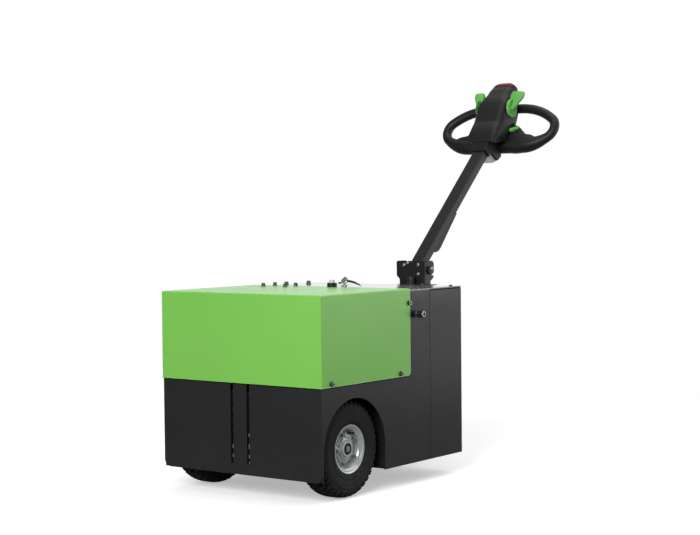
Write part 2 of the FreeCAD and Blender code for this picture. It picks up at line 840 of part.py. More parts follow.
def make_bracket():
    """The bracket on the tail: a front plate, two cheeks and a foot."""
    half = cell.bracket_width / 2
    low = tail_top
    cut = cell.bracket_chamfer
    metal = cell.bracket_sheet
    body = new_body("tiller_bracket")
    face = new_sketch(body, "XZ", bracket_y)
    polygon(face, [(-half + cut, low), (half - cut, low), (half - cut, low + cut * 2),
                   (half, low + cut * 3), (half, bracket_top - 4),
                   (half - 4, bracket_top), (-half + 4, bracket_top),
                   (-half, bracket_top - 4), (-half, low + cut * 3),
                   (-half + cut, low + cut * 2)])
    pad(body, face, metal)
    back = bracket_y + cell.bracket_length
    outline = [(bracket_y + metal, low + cut * 3), (back - 14, low + cut * 3),
               (back, low + cut * 3 + 10), (back, bracket_top - 8),
               (back - 8, bracket_top), (bracket_y + metal, bracket_top)]
    for offset in (half - metal, -half):
        cheek = new_sketch(body, "YZ", offset)
        polygon(cheek, outline)
        pad(body, cheek, metal)
    foot = new_sketch(body, "XY", low)
    rectangle(foot, -cell.foot_width / 2, bracket_y, cell.foot_width / 2, back)
    pad(body, foot, metal)
    eye = new_sketch(body, "YZ", 0.0)
    circle(eye, hinge_y, hinge_height, cell.pin_radius)
    pocket(body, eye)
    return body


def make_tiller_pin():
    """The hinge pin through the bracket's cheeks, with a head and a nut."""
    half = cell.bracket_width / 2
    end = half + cell.pin_head
    shank = cell.pin_radius
    head = shank * 1.55
    outline = [(-end, as_size(0)), (-end, head), (-half, head), (-half, shank),
               (half, shank), (half, head), (end, head), (end, as_size(0))]
    return turned("tiller_pin", outline, 0.0, hinge_y, hinge_height)


def make_bump_stop():
    """The round post in front of the bracket."""
    low = tail_top
    top = low + cell.stop_rise
    wide = cell.stop_radius
    outline = [(as_size(0), low), (wide, low), (wide, top - 3), (wide - 3, top),
               (wide - 5, top), (wide - 5, top - 4), (as_size(0), top - 4)]
    return turned("bump_stop", outline, cell.stop_offset, bracket_y - cell.stop_setback, 0.0,
                  plane="XZ", axis="V_Axis")


# ---------------------------------------------------------------- tiller

head_y = (hinge_y + cell.arm_length * cosine(cell.arm_angle)
          + cell.head_drop * sine(cell.head_angle))
head_z = (hinge_height + cell.arm_length * sine(cell.arm_angle)
          - cell.head_drop * cosine(cell.head_angle))
head_half = cell.head_width / 2
head_bend = cell.head_angle - cell.arm_angle

def on_arm(body):
    """Lay a body, drawn along +Y from the hinge, along the tiller arm."""
    place(body, 0.0, hinge_y, hinge_height, cell.arm_angle)
    return body


def on_head(body):
    """Lay a body, drawn in the handle's plane with +Y up the head, on the tiller."""
    place(body, 0.0, head_y, head_z, cell.head_angle)
    return body


def past_arm(along, above):
    """A point of the head's middle plane, from the middle of the arm's end: so far on along
    the arm and so far above its axis."""
    y = along * cosine(head_bend) + above * sine(head_bend)
    z = cell.head_drop - along * sine(head_bend) + above * cosine(head_bend)
    return y, z


def make_arm():
    """Knuckle on the pin, rectangular tube, and the cover under the tube."""
    knuckle = new_body("tiller_knuckle")
    ring = new_sketch(knuckle, "YZ", 0.0)
    circle(ring, 0.0, 0.0, cell.knuckle_radius)
    pad(knuckle, ring, cell.knuckle_length, middle=True)
    lug = new_sketch(knuckle, "YZ", 0.0)
    rectangle(lug, 0.0, -cell.arm_depth / 2 + cell.arm_sheet, cell.knuckle_radius + 16,
              cell.arm_depth / 2 - cell.arm_sheet)
    pad(knuckle, lug, cell.arm_width - cell.arm_sheet * 2, middle=True)
    bore = new_sketch(knuckle, "YZ", 0.0)
    circle(bore, 0.0, 0.0, cell.pin_radius + cell.running_clearance)
    pocket(knuckle, bore)
    on_arm(knuckle)

    tube = new_body("tiller_arm")
    start = cell.knuckle_radius
    length = cell.arm_length - start
    section = new_sketch(tube, "XZ", start)
    width = cell.arm_width / 2
    depth = cell.arm_depth / 2
    rectangle(section, -width, -depth, width, depth)
    pad(tube, section, length)
    round_edges(tube, cell.arm_sheet, lambda a, b, way: abs(way.y) > 0.99)
    hollow = new_sketch(tube, "XZ", start)
    inside_x = width - cell.arm_sheet
    inside_z = depth - cell.arm_sheet
    rectangle(hollow, -inside_x, -inside_z, inside_x, inside_z)
    pocket(tube, hollow, length)
    on_arm(tube)

    cover = new_body("arm_cover")
    side = new_sketch(cover, "YZ", 0.0)
    under = -cell.arm_depth / 2
    begin = cell.cover_start
    finish = begin + cell.cover_length
    polygon(side, [(begin, under), (begin + 4, under - cell.cover_thick_end + 3),
                   (begin + 10, under - cell.cover_thick_end),
                   (finish - 4, under - cell.cover_thin_end), (finish, under)])
    pad(cover, side, cell.cover_width, middle=True)
    on_arm(cover)


def loft(body, sections):
    """A solid through rounded rectangles: height, half width, back, front, and the bends of
    the front and the back corners."""
    sketches = []
    for height, half, back, front_face, bend, back_bend in sections:
        sketch = new_sketch(body, "XZ", height)
        rounded_rectangle(sketch, -half, back, half, front_face,
                          as_size(bend), as_size(back_bend))
        sketch.Visibility = False
        sketches.append(sketch)
    feature = body.newObject("PartDesign::AdditiveLoft", "Loft")
    feature.Profile = sketches[0]
    feature.Sections = sketches[1:]
    feature.Ruled = True
    return feature


def make_head():
    """The moulded housing over the arm's end, the neck under it and the button in its nose."""
    shell = new_body("head_shell")
    low = cell.head_low
    back = -cell.head_back
    face = cell.head_front
    half = head_half
    top = cell.head_length
    nose = cell.nose_width / 2
    nose_back = cell.nose_centre - cell.nose_depth / 2
    nose_face = cell.nose_centre + cell.nose_depth / 2
    under = -cell.arm_depth / 2
    throat = past_arm(20, under)
    loft(shell, [(low, half - 7, face - 8, face + 4, 5, 5),
                 (low + 14, half - 3, face - 27, face + 7, 14, 10),
                 (low + 33, half, face - 60, face + 8, 20, 14),
                 (low + 49, half, back + 6, face + 7, 24, 20),
                 (low + 64, half, back, face + 4, 24, 26),
                 (low + 82, half, back, face, 24, 26),
                 (low + 113, half, back, face, 24, 30),
                 (low + 151, half, back + 2, face - 2, 25, 30),
                 (top - 63, nose + 13, back + 6, face - 5, 26, 28),
                 (top - 38, nose + 4, nose_back - 9, nose_face + 17, 26, 26),
                 (top - 18, nose + 1.5, nose_back - 4, nose_face + 10, 25, 24),
                 (top, nose, nose_back, nose_face, 24, 24)])
    chin = new_sketch(shell, "YZ", 0.0)
    polygon(chin, [past_arm(0, under), past_arm(0, cell.arm_depth / 2 + 4.5), (low, face + 2),
                   (low + 25, face + 2), (low + 43, face - 68), (low, -as_size(14)),
                   (low - 24, as_size(0)), throat])
    pad(shell, chin, cell.chin_width, middle=True)
    seat = new_sketch(shell, "YZ", 0.0)
    rectangle(seat, cell.loop_low - cell.web_fall - cell.seat_clearance, back * 3,
              cell.loop_low + cell.web_rise + cell.seat_clearance,
              cell.web_half - cell.loop_back)
    pocket(shell, seat)
    for height, radius in ((cell.loop_low, cell.loop_grip_radius),
                           (loop_high, cell.loop_bar_radius)):
        bar = new_sketch(shell, "YZ", 0.0)
        circle(bar, height, -cell.loop_back, radius + cell.seat_clearance)
        pocket(shell, bar)
    on_head(shell)

    neck = new_body("head_neck")
    side = new_sketch(neck, "YZ", 0.0)
    polygon(side, [past_arm(-21, under), (low - 39, as_size(14)), (low - 24, as_size(0)),
                   throat])
    pad(neck, side, cell.neck_width, middle=True)
    on_head(neck)

    cap = new_body("belly_button")
    rise = cell.cap_height - cell.cap_rim
    rim = top + cell.cap_rim
    loft(cap, [(top, nose, nose_back, nose_face, 24, 24),
               (rim, nose - 0.5, nose_back + 0.5, nose_face - 1, 24, 24),
               (rim + rise * 0.37, nose - 3, nose_back + 4, nose_face - 5, 20, 20),
               (rim + rise * 0.68, nose - 10, nose_back + 11, nose_face - 11, 14, 14),
               (rim + rise * 0.9, nose - 17, nose_back + 15, nose_face - 15, 10, 10),
               (rim + rise, nose - 23, nose_back + 19, nose_face - 19, 6, 6)])
    on_head(cap)


def mirrored_outline(points, side):
    """The outline as given for +X, or its mirror image with the same sense of turning."""
    if side > 0:
        return points
    return [(-as_size(x), y) for x, y in reversed(points)]


def make_speed_lever():
    """The small lever on the housing's side, in front of the handle's web."""
    body = new_body("speed_lever")
    sketch = new_sketch(body, "XY", cell.speed_lever_forward)
    low = cell.speed_lever_height - 7
    far = head_half + cell.speed_lever_reach
    polygon(sketch, [(head_half, low), (head_half + 9, low), (far - 2, low + 9),
                     (far, low + 15), (far - 5, low + 17), (head_half, low + 11)])
    pad(body, sketch, 8.0)
    on_head(body)


def bar_section(body, turn, side, radius):
    """A circle round the handle's lower bend, so many degrees past the bar's straight part."""
    sketch = new_sketch(body, "YZ", side * (cell.loop_flat + cell.loop_low_bend * sine(turn)))
    climb = cell.loop_low + cell.loop_low_bend * (1 - cosine(turn))
    base = sketch.AttachmentOffset.Base
    sketch.AttachmentOffset = FreeCAD.Placement(
        FreeCAD.Vector(climb.number, -cell.loop_back.number, base.z),
        FreeCAD.Rotation(FreeCAD.Vector(0, side, 0), turn.number))
    bind(sketch, "AttachmentOffset.Base.x", climb)
    bind(sketch, "AttachmentOffset.Base.y", -cell.loop_back)
    circle(sketch, 0.0, 0.0, radius)
    sketch.Visibility = False
    return sketch


def make_loop():
    """The closed handle: a bar along a smooth ring, thick below, and a broad web over the
    thick part that lies in the housing's back."""
    low = cell.loop_low
    flat = cell.loop_flat
    forward = -cell.loop_back
    low_sine, low_cosine = sine(cell.loop_low_turn), cosine(cell.loop_low_turn)
    top_sine, top_cosine = sine(cell.loop_top_turn), cosine(cell.loop_top_turn)
    first_x = flat + cell.loop_low_bend * low_sine
    first_y = low + cell.loop_low_bend * (1 - low_cosine)
    second_x = first_x + cell.loop_end_bend * (top_sine - low_sine)
    second_y = first_y + cell.loop_end_bend * (low_cosine + top_cosine)
    third_x = second_x - cell.loop_top_bend * top_sine
    far = head_half + cell.web_reach
    rise = cell.web_rise
    foot = low - cell.web_fall
    body = new_body("handle_loop")
    web = new_sketch(body, "XY", forward - cell.web_half)
    right = [(head_half + cell.web_reach * 0.745, foot), (far, low + rise * 0.1),
             (far, low + rise * 0.25), (head_half + cell.web_reach * 0.78, low + rise * 0.42),
             (head_half + cell.web_reach * 0.54, low + rise * 0.48),
             (head_half + cell.web_reach * 0.44, low + rise * 0.6),
             (head_half + cell.web_reach * 0.36, low + rise * 0.73),
             (head_half + cell.web_reach * 0.25, low + rise * 0.85),
             (head_half + cell.web_reach * 0.13, low + rise * 0.93), (head_half, low + rise)]
    polygon(web, right + mirrored_outline(right, -1))
    pad(body, web, cell.web_half * 2)
    rest = head_half.number
    faces = [(forward - cell.web_half).number, (forward + cell.web_half).number]
    round_edges(body, cell.web_round,
                lambda a, b, way: abs(way.z) < 0.01 and a.y > foot.number + 1
                and b.y > foot.number + 1 and (near(a.z, faces[0]) or near(a.z, faces[1]))
                and max(abs(a.x), abs(b.x)) > rest + 1)
    grip = new_sketch(body, "YZ", 0.0)
    circle(grip, low, forward, cell.loop_grip_radius)
    pad(body, grip, flat * 2, middle=True)
    thick = cell.loop_grip_radius
    thin = cell.loop_bar_radius
    for side in (-1, 1):
        start = new_sketch(body, "YZ", flat * side)
        circle(start, low, forward, thick)
        start.Visibility = False
        taper = body.newObject("PartDesign::AdditiveLoft", "Taper")
        taper.Profile = start
        taper.Sections = [bar_section(body, as_size(turn), side, radius) for turn, radius in
                          ((8, thick - 0.5), (16, thick - 2.5), (24, thin + 4),
                           (30, thin + 1.5), (35, thin))]
        taper.Ruled = True
    ring = new_sketch(body, "XY", forward)
    smooth_outline(ring, [
        (as_size(0), low, None), (flat, low, cell.loop_low_bend),
        (first_x, first_y, cell.loop_end_bend), (second_x, second_y, cell.loop_top_bend),
        (third_x, loop_high, None), (-third_x, loop_high, cell.loop_top_bend),
        (-second_x, second_y, cell.loop_end_bend), (-first_x, first_y, cell.loop_low_bend),
        (-flat, low, None)])
    bar = new_sketch(body, "YZ", 0.0)
    circle(bar, low, forward, thin)
    sweep = body.newObject("PartDesign::AdditivePipe", "Ring")
    sweep.Profile = bar
    sweep.Spine = ring
    sweep.Mode = "Standard"
    ring.Visibility = False
    bar.Visibility = False
    on_head(body)
    return body


def make_levers():
    """A thumb lever on each side of the housing: a round boss with a flared paddle."""
    height = loop_high - cell.lever_drop
    depth = cell.head_front - cell.lever_sink
    for label, side in (("thumb_lever_right", 1), ("thumb_lever_left", -1)):
        body = new_body(label)
        boss = new_sketch(body, "YZ", head_half if side > 0 else -head_half - cell.lever_sheet)
        circle(boss, height, depth, cell.lever_radius)
        pad(body, boss, cell.lever_sheet)
        paddle = new_sketch(body, "XY", depth - cell.paddle_sheet)
        tip = height + cell.paddle_rise
        far = head_half + cell.paddle_flare
        outline = [(head_half, height + 11), (head_half + cell.lever_sheet, height + 4),
                   (far - 4, tip - 40), (far, tip - 26), (far - 1, tip - 9), (far - 8, tip - 2),
                   (head_half + 3, tip), (head_half, tip - 26)]
        polygon(paddle, mirrored_outline(outline, side))
        pad(body, paddle, cell.paddle_sheet)
        on_head(body)


# ---------------------------------------------------------------- controls on the body

def make_controls():
    """Push button, key switch and the two pull knobs."""
    hood_top = cell.deck_height + cell.hood_sheet
    zero = as_size(0)
    button = [(zero, hood_top), (as_size(14), hood_top), (as_size(14), hood_top + 10),
              (as_size(12.5), hood_top + 12), (as_size(7.5), hood_top + 12),
              (as_size(7.5), hood_top + 19), (as_size(6), hood_top + 20), (zero, hood_top + 20)]
    turned("deck_button", button, cell.button_offset,
           from_front(cell.hood_length - 14 - cell.seat_clearance * 2), 0.0,
           plane="XZ", axis="V_Axis")
    deck = cell.deck_height
    switch = [(zero, deck), (as_size(11), deck), (as_size(11), deck + 4), (as_size(8), deck + 6),
              (zero, deck + 6)]
    turned("key_switch", switch, cell.key_offset,
           from_front(cell.hood_length + cell.key_setback), 0.0,
           plane="XZ", axis="V_Axis")
    knob_y = from_front(cell.hood_length + cell.knob_setback)
    wide = cell.knob_flange_radius
    for label, side in (("pull_knob_right", 1), ("pull_knob_left", -1)):
        at = [0, 3, 3, 9, 9, 11, 25, 27, 27, 30]
        rad = [wide, wide, wide * 0.5, wide * 0.5, wide * 0.75, wide, wide, wide * 0.8,
               wide * 0.4, wide * 0.4]
        outline = [(as_size(x) * side, r) for x, r in zip(at, rad)]
        outline = [(zero, zero)] + outline + [(cell.knob_stand * side, zero)]
        turned(label, outline, body_half * side, knob_y, cell.knob_height)


# ---------------------------------------------------------------- build and write

def build():
    make_front_panel()
    make_side_panel("side_panel_right", 1)
    make_side_panel("side_panel_left", -1)
    make_deck()
    make_rear_section()
    make_belly_pan()
    make_bay_walls()
    make_hood()
    make_hitch_rail()
    make_transaxle()
    make_motor()
    make_axle_mount("axle_mount_right", 1)
    make_axle_mount("axle_mount_left", -1)
    make_battery()
    make_drive_wheel("wheel_right", 1)
    make_drive_wheel("wheel_left", -1)
    make_tail()
    make_castor_head()
    make_castor_fork()
    make_castor_axle()
    make_castor_wheel()
    make_bracket()
    make_tiller_pin()
    make_bump_stop()
    make_arm()
    make_head()
    make_speed_lever()
    make_loop()
    make_levers()
    make_controls()


def check_document():
    """Stop if anything in the document failed."""
    doc.recompute()
    for obj in doc.Objects:
        if "Invalid" in obj.State or "Error" in obj.State:
            owner = [item.Label for item in obj.InList]
            raise RuntimeError(f"{obj.Label} of {owner} failed: {obj.State}")
    for body in STEP_NODES:
        if body.Shape.isNull() or not body.Shape.isValid():
            raise RuntimeError(f"{body.Label} has no valid shape")


def write_steps():
    os.makedirs("parts", exist_ok=True)
    for body in STEP_NODES:
        body.Shape.exportStep(f"parts/{body.Label}.step")
        box = body.Shape.BoundBox
        print(f"{body.Label:20s} solids {len(body.Shape.Solids)} volume {body.Shape.Volume:12.0f}"
              f"  x {box.XMin:8.1f} {box.XMax:8.1f}  y {box.YMin:8.1f} {box.YMax:8.1f}"
              f"  z {box.ZMin:8.1f} {box.ZMax:8.1f}")


build()
check_document()
write_steps()
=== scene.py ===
"""Looks of the electric tow tug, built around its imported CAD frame.

The machine's sizes are written in millimetres, and MM turns them into Blender's metres; lamps
and patterns are in metres. A place on the machine is given from its middle plane, behind the
hood's front face and above the floor."""
import json
from math import copysign, cos, degrees, hypot, pi, radians, sin

import bmesh
import bpy
from mathutils import Matrix, Vector


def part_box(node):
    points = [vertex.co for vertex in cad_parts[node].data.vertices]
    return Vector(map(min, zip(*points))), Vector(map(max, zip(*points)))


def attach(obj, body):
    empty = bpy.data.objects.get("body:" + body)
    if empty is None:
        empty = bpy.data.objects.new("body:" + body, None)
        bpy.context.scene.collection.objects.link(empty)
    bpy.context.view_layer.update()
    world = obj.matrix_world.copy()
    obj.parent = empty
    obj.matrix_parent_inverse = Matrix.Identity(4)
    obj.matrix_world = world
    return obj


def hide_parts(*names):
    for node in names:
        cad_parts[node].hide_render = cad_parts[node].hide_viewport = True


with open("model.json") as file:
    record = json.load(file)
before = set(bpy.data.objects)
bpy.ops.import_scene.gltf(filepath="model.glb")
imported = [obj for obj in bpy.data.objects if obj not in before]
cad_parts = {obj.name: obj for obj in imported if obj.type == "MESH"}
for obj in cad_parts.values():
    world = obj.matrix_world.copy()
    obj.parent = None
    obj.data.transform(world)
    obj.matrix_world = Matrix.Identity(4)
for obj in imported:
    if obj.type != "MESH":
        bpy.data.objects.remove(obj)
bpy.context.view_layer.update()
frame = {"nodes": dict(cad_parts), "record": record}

MM = 0.001
X, Y, Z = Vector((1, 0, 0)), Vector((0, 1, 0)), Vector((0, 0, 1))
SIDES = ((-1, "left"), (1, "right"))


def low(node):
    """Lowest corner of a node's box."""
    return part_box(node)[0]


def high(node):
    """Highest corner of a node's box."""
    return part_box(node)[1]


def middle(node):
    """Middle of a node's box."""
    return (low(node) + high(node)) / 2


FRONT = low("hood").y


def behind(distance):
    """Y of a point this many millimetres behind the hood's front face."""
    return FRONT + distance * MM


# ---- shader nodes

def add(tree, kind):
    """A new shader node."""
    return tree.nodes.new("ShaderNode" + kind)


def fill(node, values):
    """Set a node's inputs by their names."""
    for name, value in values.items():
        node.inputs[name].default_value = value


def link(tree, out_node, out_name, in_node, in_name):
    """Join two sockets by their names."""
    tree.links.new(out_node.outputs[out_name], in_node.inputs[in_name])


def noise(tree, coords, scale, detail=3, roughness=0.5):
    """Noise laid over the object's own coordinates."""
    node = add(tree, "TexNoise")
    fill(node, {"Scale": scale, "Detail": detail, "Roughness": roughness})
    link(tree, coords, "Object", node, "Vector")
    return node


def to_range(tree, source, output, low_value, high_value, start=0.3, end=0.7):
    """Map an output from between start and end to between two values."""
    node = add(tree, "MapRange")
    fill(node, {"From Min": start, "From Max": end, "To Min": low_value, "To Max": high_value})
    link(tree, source, output, node, "Value")
    return node


def eased_range(tree, source, output, low_value, high_value, start, end):
    """The same map with soft ends."""
    node = to_range(tree, source, output, low_value, high_value, start, end)
    node.interpolation_type = "SMOOTHSTEP"
    return node


def two_inputs(tree, kind, operation, first, second):
    """A math node over two outputs."""
    node = add(tree, kind)
    node.operation = operation
    tree.links.new(first, node.inputs[0])
    tree.links.new(second, node.inputs[1])
    return node


def colour_mix(tree, factor, first, second):
    """Blend two colours, each a plain colour or an output, and give the blend's output."""
    node = add(tree, "Mix")
    node.data_type = "RGBA"
    tree.links.new(factor, node.inputs["Factor"])
    for socket, source in ((node.inputs[6], first), (node.inputs[7], second)):
        if isinstance(source, bpy.types.NodeSocket):
            tree.links.new(source, socket)
        else:
            socket.default_value = (*source, 1)
    return node.outputs[2]


def shader_mix(tree, factor, first, second):
    """Blend two shader nodes by a factor output."""
    node = add(tree, "MixShader")
    tree.links.new(factor, node.inputs[0])
    tree.links.new(first.outputs[0], node.inputs[1])
    tree.links.new(second.outputs[0], node.inputs[2])
    return node


def plain_shader(tree, kind, colour, strength=None):
    """A shader node of one colour, with a strength if it gives light."""
    node = add(tree, kind)
    node.inputs["Color"].default_value = (*colour, 1)
    if strength is not None:
        node.inputs["Strength"].default_value = strength
    return node


# ---- materials

DUST = (0.16, 0.15, 0.13)


def spangled(tree, coords, tint, colour, scale, amount):
    """Darken scattered cells of a tint, as on galvanised steel."""
    cells = add(tree, "TexVoronoi")
    cells.inputs["Scale"].default_value = scale
    link(tree, coords, "Object", cells, "Vector")
    grey = add(tree, "SeparateColor")
    link(tree, cells, "Color", grey, "Color")
    share = to_range(tree, grey, "Red", 1 - amount, 1, 0, 1)
    return colour_mix(tree, share.outputs["Result"], [c * 0.55 for c in colour], tint)


def dusty(tree, coords, tint, dust):
    """Lay specks of floor dust over a tint, fading out with height."""
    height = add(tree, "SeparateXYZ")
    link(tree, coords, "Object", height, "Vector")
    fade = to_range(tree, height, "Z", dust, 0, 0, 0.16)
    speck = noise(tree, coords, 60, 6, 0.7)
    specks = to_range(tree, speck, "Fac", 0, 1, 0.35, 0.75)
    share = two_inputs(tree, "Math", "MULTIPLY", fade.outputs["Result"], specks.outputs["Result"])
    return colour_mix(tree, share.outputs[0], tint, DUST)


def roughened(tree, coords, shader, grains):
    """Bump from grains given as (noise scale, strength, depth in metres)."""
    last = None
    for scale, strength, depth in grains:
        grain = noise(tree, coords, scale, 2)
        bump = add(tree, "Bump")
        fill(bump, {"Strength": strength, "Distance": depth})
        link(tree, grain, "Fac", bump, "Height")
        if last:
            link(tree, last, "Normal", bump, "Normal")
        last = bump
    if last:
        link(tree, last, "Normal", shader, "Normal")


def material(name, colour, rough, metal=0, specular=0.5, tone=0.06, tone_scale=6,
             rough_spread=0.05, grains=(), coat=0, dust=0, cells=None):
    """A procedural material: a colour that drifts a little, uneven gloss, fine bump, and
    where asked for a clear coat, dust near the floor and spangled cells (scale, amount)."""
    made = bpy.data.materials.new(name)
    made.use_nodes = True
    made.diffuse_color = (*colour, 1)
    tree = made.node_tree
    shader = tree.nodes["Principled BSDF"]
    fill(shader, {"Metallic": metal, "Specular IOR Level": specular, "Coat Weight": coat,
                  "Coat Roughness": 0.12})
    coords = add(tree, "TexCoord")
    drift = noise(tree, coords, tone_scale, 4)
    share = to_range(tree, drift, "Fac", 0, 1)
    tint = colour_mix(tree, share.outputs["Result"], [c * (1 - tone) for c in colour],
                      [min(1, c * (1 + tone)) for c in colour])
    if cells:
        tint = spangled(tree, coords, tint, colour, *cells)
    if dust:
        tint = dusty(tree, coords, tint, dust)
    tree.links.new(tint, shader.inputs["Base Color"])
    gloss = noise(tree, coords, tone_scale * 7, 5, 0.6)
    spread = to_range(tree, gloss, "Fac", max(0.02, rough - rough_spread), rough + rough_spread)
    link(tree, spread, "Result", shader, "Roughness")
    roughened(tree, coords, shader, grains)
    return made


COAT_GRAIN = ((420, 0.1, 0.0004), (1500, 0.08, 0.0002))
MATERIALS = {
    "body_black": material("powder_black", (0.0115, 0.0118, 0.013), 0.46, specular=0.2,
                           tone=0.1, grains=COAT_GRAIN, dust=0.1, coat=0.3),
    "hood_green": material("powder_green", (0.188, 0.52, 0.08), 0.34, specular=0.42,
                           tone=0.03, tone_scale=4, grains=COAT_GRAIN, coat=0.1),
    "frame_steel": material("satin_black_steel", (0.016, 0.016, 0.018), 0.42, specular=0.4,
                            tone=0.15, grains=((700, 0.12, 0.0003),)),
    "seal_rubber": material("seal_rubber", (0.012, 0.012, 0.012), 0.8, specular=0.3,
                            tone=0.15, grains=((1200, 0.2, 0.0003),)),
    "cast_case": material("cast_aluminium", (0.42, 0.43, 0.43), 0.52, metal=0.85,
                          tone=0.12, tone_scale=18, grains=((520, 0.35, 0.0008),), dust=0.3),
    "battery_case": material("battery_case", (0.035, 0.036, 0.04), 0.55,
                             grains=((900, 0.15, 0.0004),)),
    "tyre": material("tyre_rubber", (0.0088, 0.0088, 0.009), 0.78, specular=0.28, tone=0.22,
                     tone_scale=30, rough_spread=0.08,
                     grains=((260, 0.18, 0.0006), (1400, 0.25, 0.0003)), dust=0.18),
    "zinc": material("galvanised_steel", (0.56, 0.59, 0.575), 0.3, metal=0.55, tone_scale=22,
                     grains=((300, 0.03, 0.0002),), cells=(140, 0.04)),
    "castor_plastic": material("castor_nylon", (0.23, 0.24, 0.25), 0.5,
                               tone=0.08, grains=((600, 0.12, 0.0003),)),
    "grip_black": material("moulded_black", (0.0085, 0.0085, 0.009), 0.48, specular=0.36,
                           tone=0.12, grains=((1100, 0.22, 0.0003), (300, 0.08, 0.0004))),
    "neck_grey": material("satin_cast_grey", (0.36, 0.36, 0.355), 0.46, metal=0.35,
                          tone=0.1, tone_scale=40, grains=((480, 0.25, 0.0006),)),
    "lever_green": material("lever_green", (0.14, 0.46, 0.095), 0.34, tone=0.05,
                            tone_scale=20, grains=((900, 0.12, 0.0003),)),
    "button_red": material("button_red", (0.135, 0.0045, 0.017), 0.42, specular=0.2,
                           tone=0.08, tone_scale=25, grains=((900, 0.1, 0.0003),)),
    "chrome_trim": material("polished_trim", (0.72, 0.73, 0.74), 0.12, metal=1, tone=0.04,
                            tone_scale=40, rough_spread=0.04, grains=((500, 0.05, 0.0002),)),
}
DECK_BLACK = material("deck_black", (0.0115, 0.0118, 0.013), 0.3, tone=0.1,
                      grains=((420, 0.05, 0.0001),), coat=1)
BOLT_ZINC = material("bolt_zinc", (0.34, 0.35, 0.34), 0.3, metal=0.9, tone=0.1,
                     tone_scale=90, rough_spread=0.1, grains=((900, 0.15, 0.0003),))
BOLT_GREY = material("bolt_grey", (0.12, 0.125, 0.12), 0.32, metal=0.85, tone=0.15,
                     grains=((500, 0.05, 0.0002),))
BOLT_DARK = material("bolt_dark", (0.045, 0.047, 0.047), 0.36, metal=0.7, tone=0.15,
                     tone_scale=90, grains=((900, 0.15, 0.0003),))
# A darker copy of the galvanised steel: painted shade for the disc recessed in the rim.
DISC_ZINC_SHADED = material("rim_disc_zinc_shaded", (0.4, 0.43, 0.41), 0.36, metal=0.4, tone=0.1,
                     tone_scale=30, rough_spread=0.08, grains=((300, 0.06, 0.0003),),
                     cells=(120, 0.15))
# A paler green for the bead along the hood's edges: a painted highlight where the sheet's edge catches
# the light.
EDGE_HIGHLIGHT_GREEN = material("painted_edge_highlight", (0.4, 0.62, 0.3), 0.3, specular=0.6, tone=0.05,
                     grains=((900, 0.05, 0.0002),))
CAP_PALE = material("pale_plastic", (0.52, 0.53, 0.5), 0.35, tone=0.05,
                    grains=((900, 0.08, 0.0003),))
FOB_BROWN = material("fob_leather", (0.022, 0.014, 0.011), 0.55, tone=0.2, tone_scale=60,
                     grains=((700, 0.3, 0.0004),))
JOINT_DARK = material("seam_soft", (0.0072, 0.0074, 0.0082), 0.5, specular=0.15, tone=0.1,
                      grains=((700, 0.05, 0.0002),))
# Near-black paint for painted shade: the shadow gaps under and behind the hood, the slots' walls and the
# rail seen in them, and the hub's bore.
SHADOW_BLACK = material("seam_shadow", (0.004, 0.004, 0.004), 0.9, specular=0.1, tone=0.2,
                      grains=((900, 0.1, 0.0003),))

for row in frame["record"]["subparts"]:
    solid = frame["nodes"][row["node"]]
    solid.data.materials.clear()
    solid.data.materials.append(MATERIALS[row["material_slot"]])
# The hitch rail, seen through the front slots, is painted near black as painted shade in the slots.
for node, paint in (("tiller_pin", MATERIALS["frame_steel"]), ("hitch_rail", SHADOW_BLACK),
                    ("deck_plate", DECK_BLACK), ("rear_lid", DECK_BLACK)):
    frame["nodes"][node].data.materials[0] = paint


# ---- outlines and paths

def full_turn(count):
    """Angles of this many even steps round a circle."""
    return [2 * pi * i / count for i in range(count)]


def rounded(points, fine):
    """A closed outline with a smooth curve through its corners."""
    made = []
    count = len(points)
    for i in range(count):
        before, here, there, after = (Vector(points[(i + k) % count]) for k in (-1, 0, 1, 2))
        for j in range(fine):
            t = j / fine
            made.append(0.5 * (2 * here + (there - before) * t
                               + (2 * before - 5 * here + 4 * there - after) * t ** 2
                               + (3 * here - before - 3 * there + after) * t ** 3))
    return [(p.x, p.y) for p in made]


def inward(points, distance):
    """The outline moved in by a distance."""
    made = []
    count = len(points)
    for i in range(count):
        before, here, after = (Vector(points[(i + k) % count]) for k in (-1, 0, 1))
        way = (after - before).normalized()
        made.append((here.x - way.y * distance, here.y + way.x * distance))
    return made


def eased(rows, count):
    """Rows of numbers interpolated smoothly over their first number, without overshoot."""
    heights = [row[0] for row in rows]
    columns = list(zip(*rows))[1:]
    slopes = []
    for values in columns:
        steps = [(b - a) / (h - g) for a, b, g, h in zip(values, values[1:], heights, heights[1:])]
        inner = [0 if a * b <= 0 else 2 * a * b / (a + b) for a, b in zip(steps, steps[1:])]
        slopes.append([steps[0], *inner, steps[-1]])
    made = []
    for i in range(count + 1):
        h = heights[0] + (heights[-1] - heights[0]) * i / count
        k = max(j for j in range(len(heights) - 1) if heights[j] <= h + 1e-9)
        span = heights[k + 1] - heights[k]
        t = (h - heights[k]) / span
        row = [h]
        for values, slope in zip(columns, slopes):
            a, b = values[k], values[k + 1]
            row.append(a * (2 * t ** 3 - 3 * t ** 2 + 1) + b * (3 * t ** 2 - 2 * t ** 3)
                       + span * (slope[k] * (t ** 3 - 2 * t ** 2 + t) + slope[k + 1] * (t ** 3 - t ** 2)))
        made.append(row)
    return made


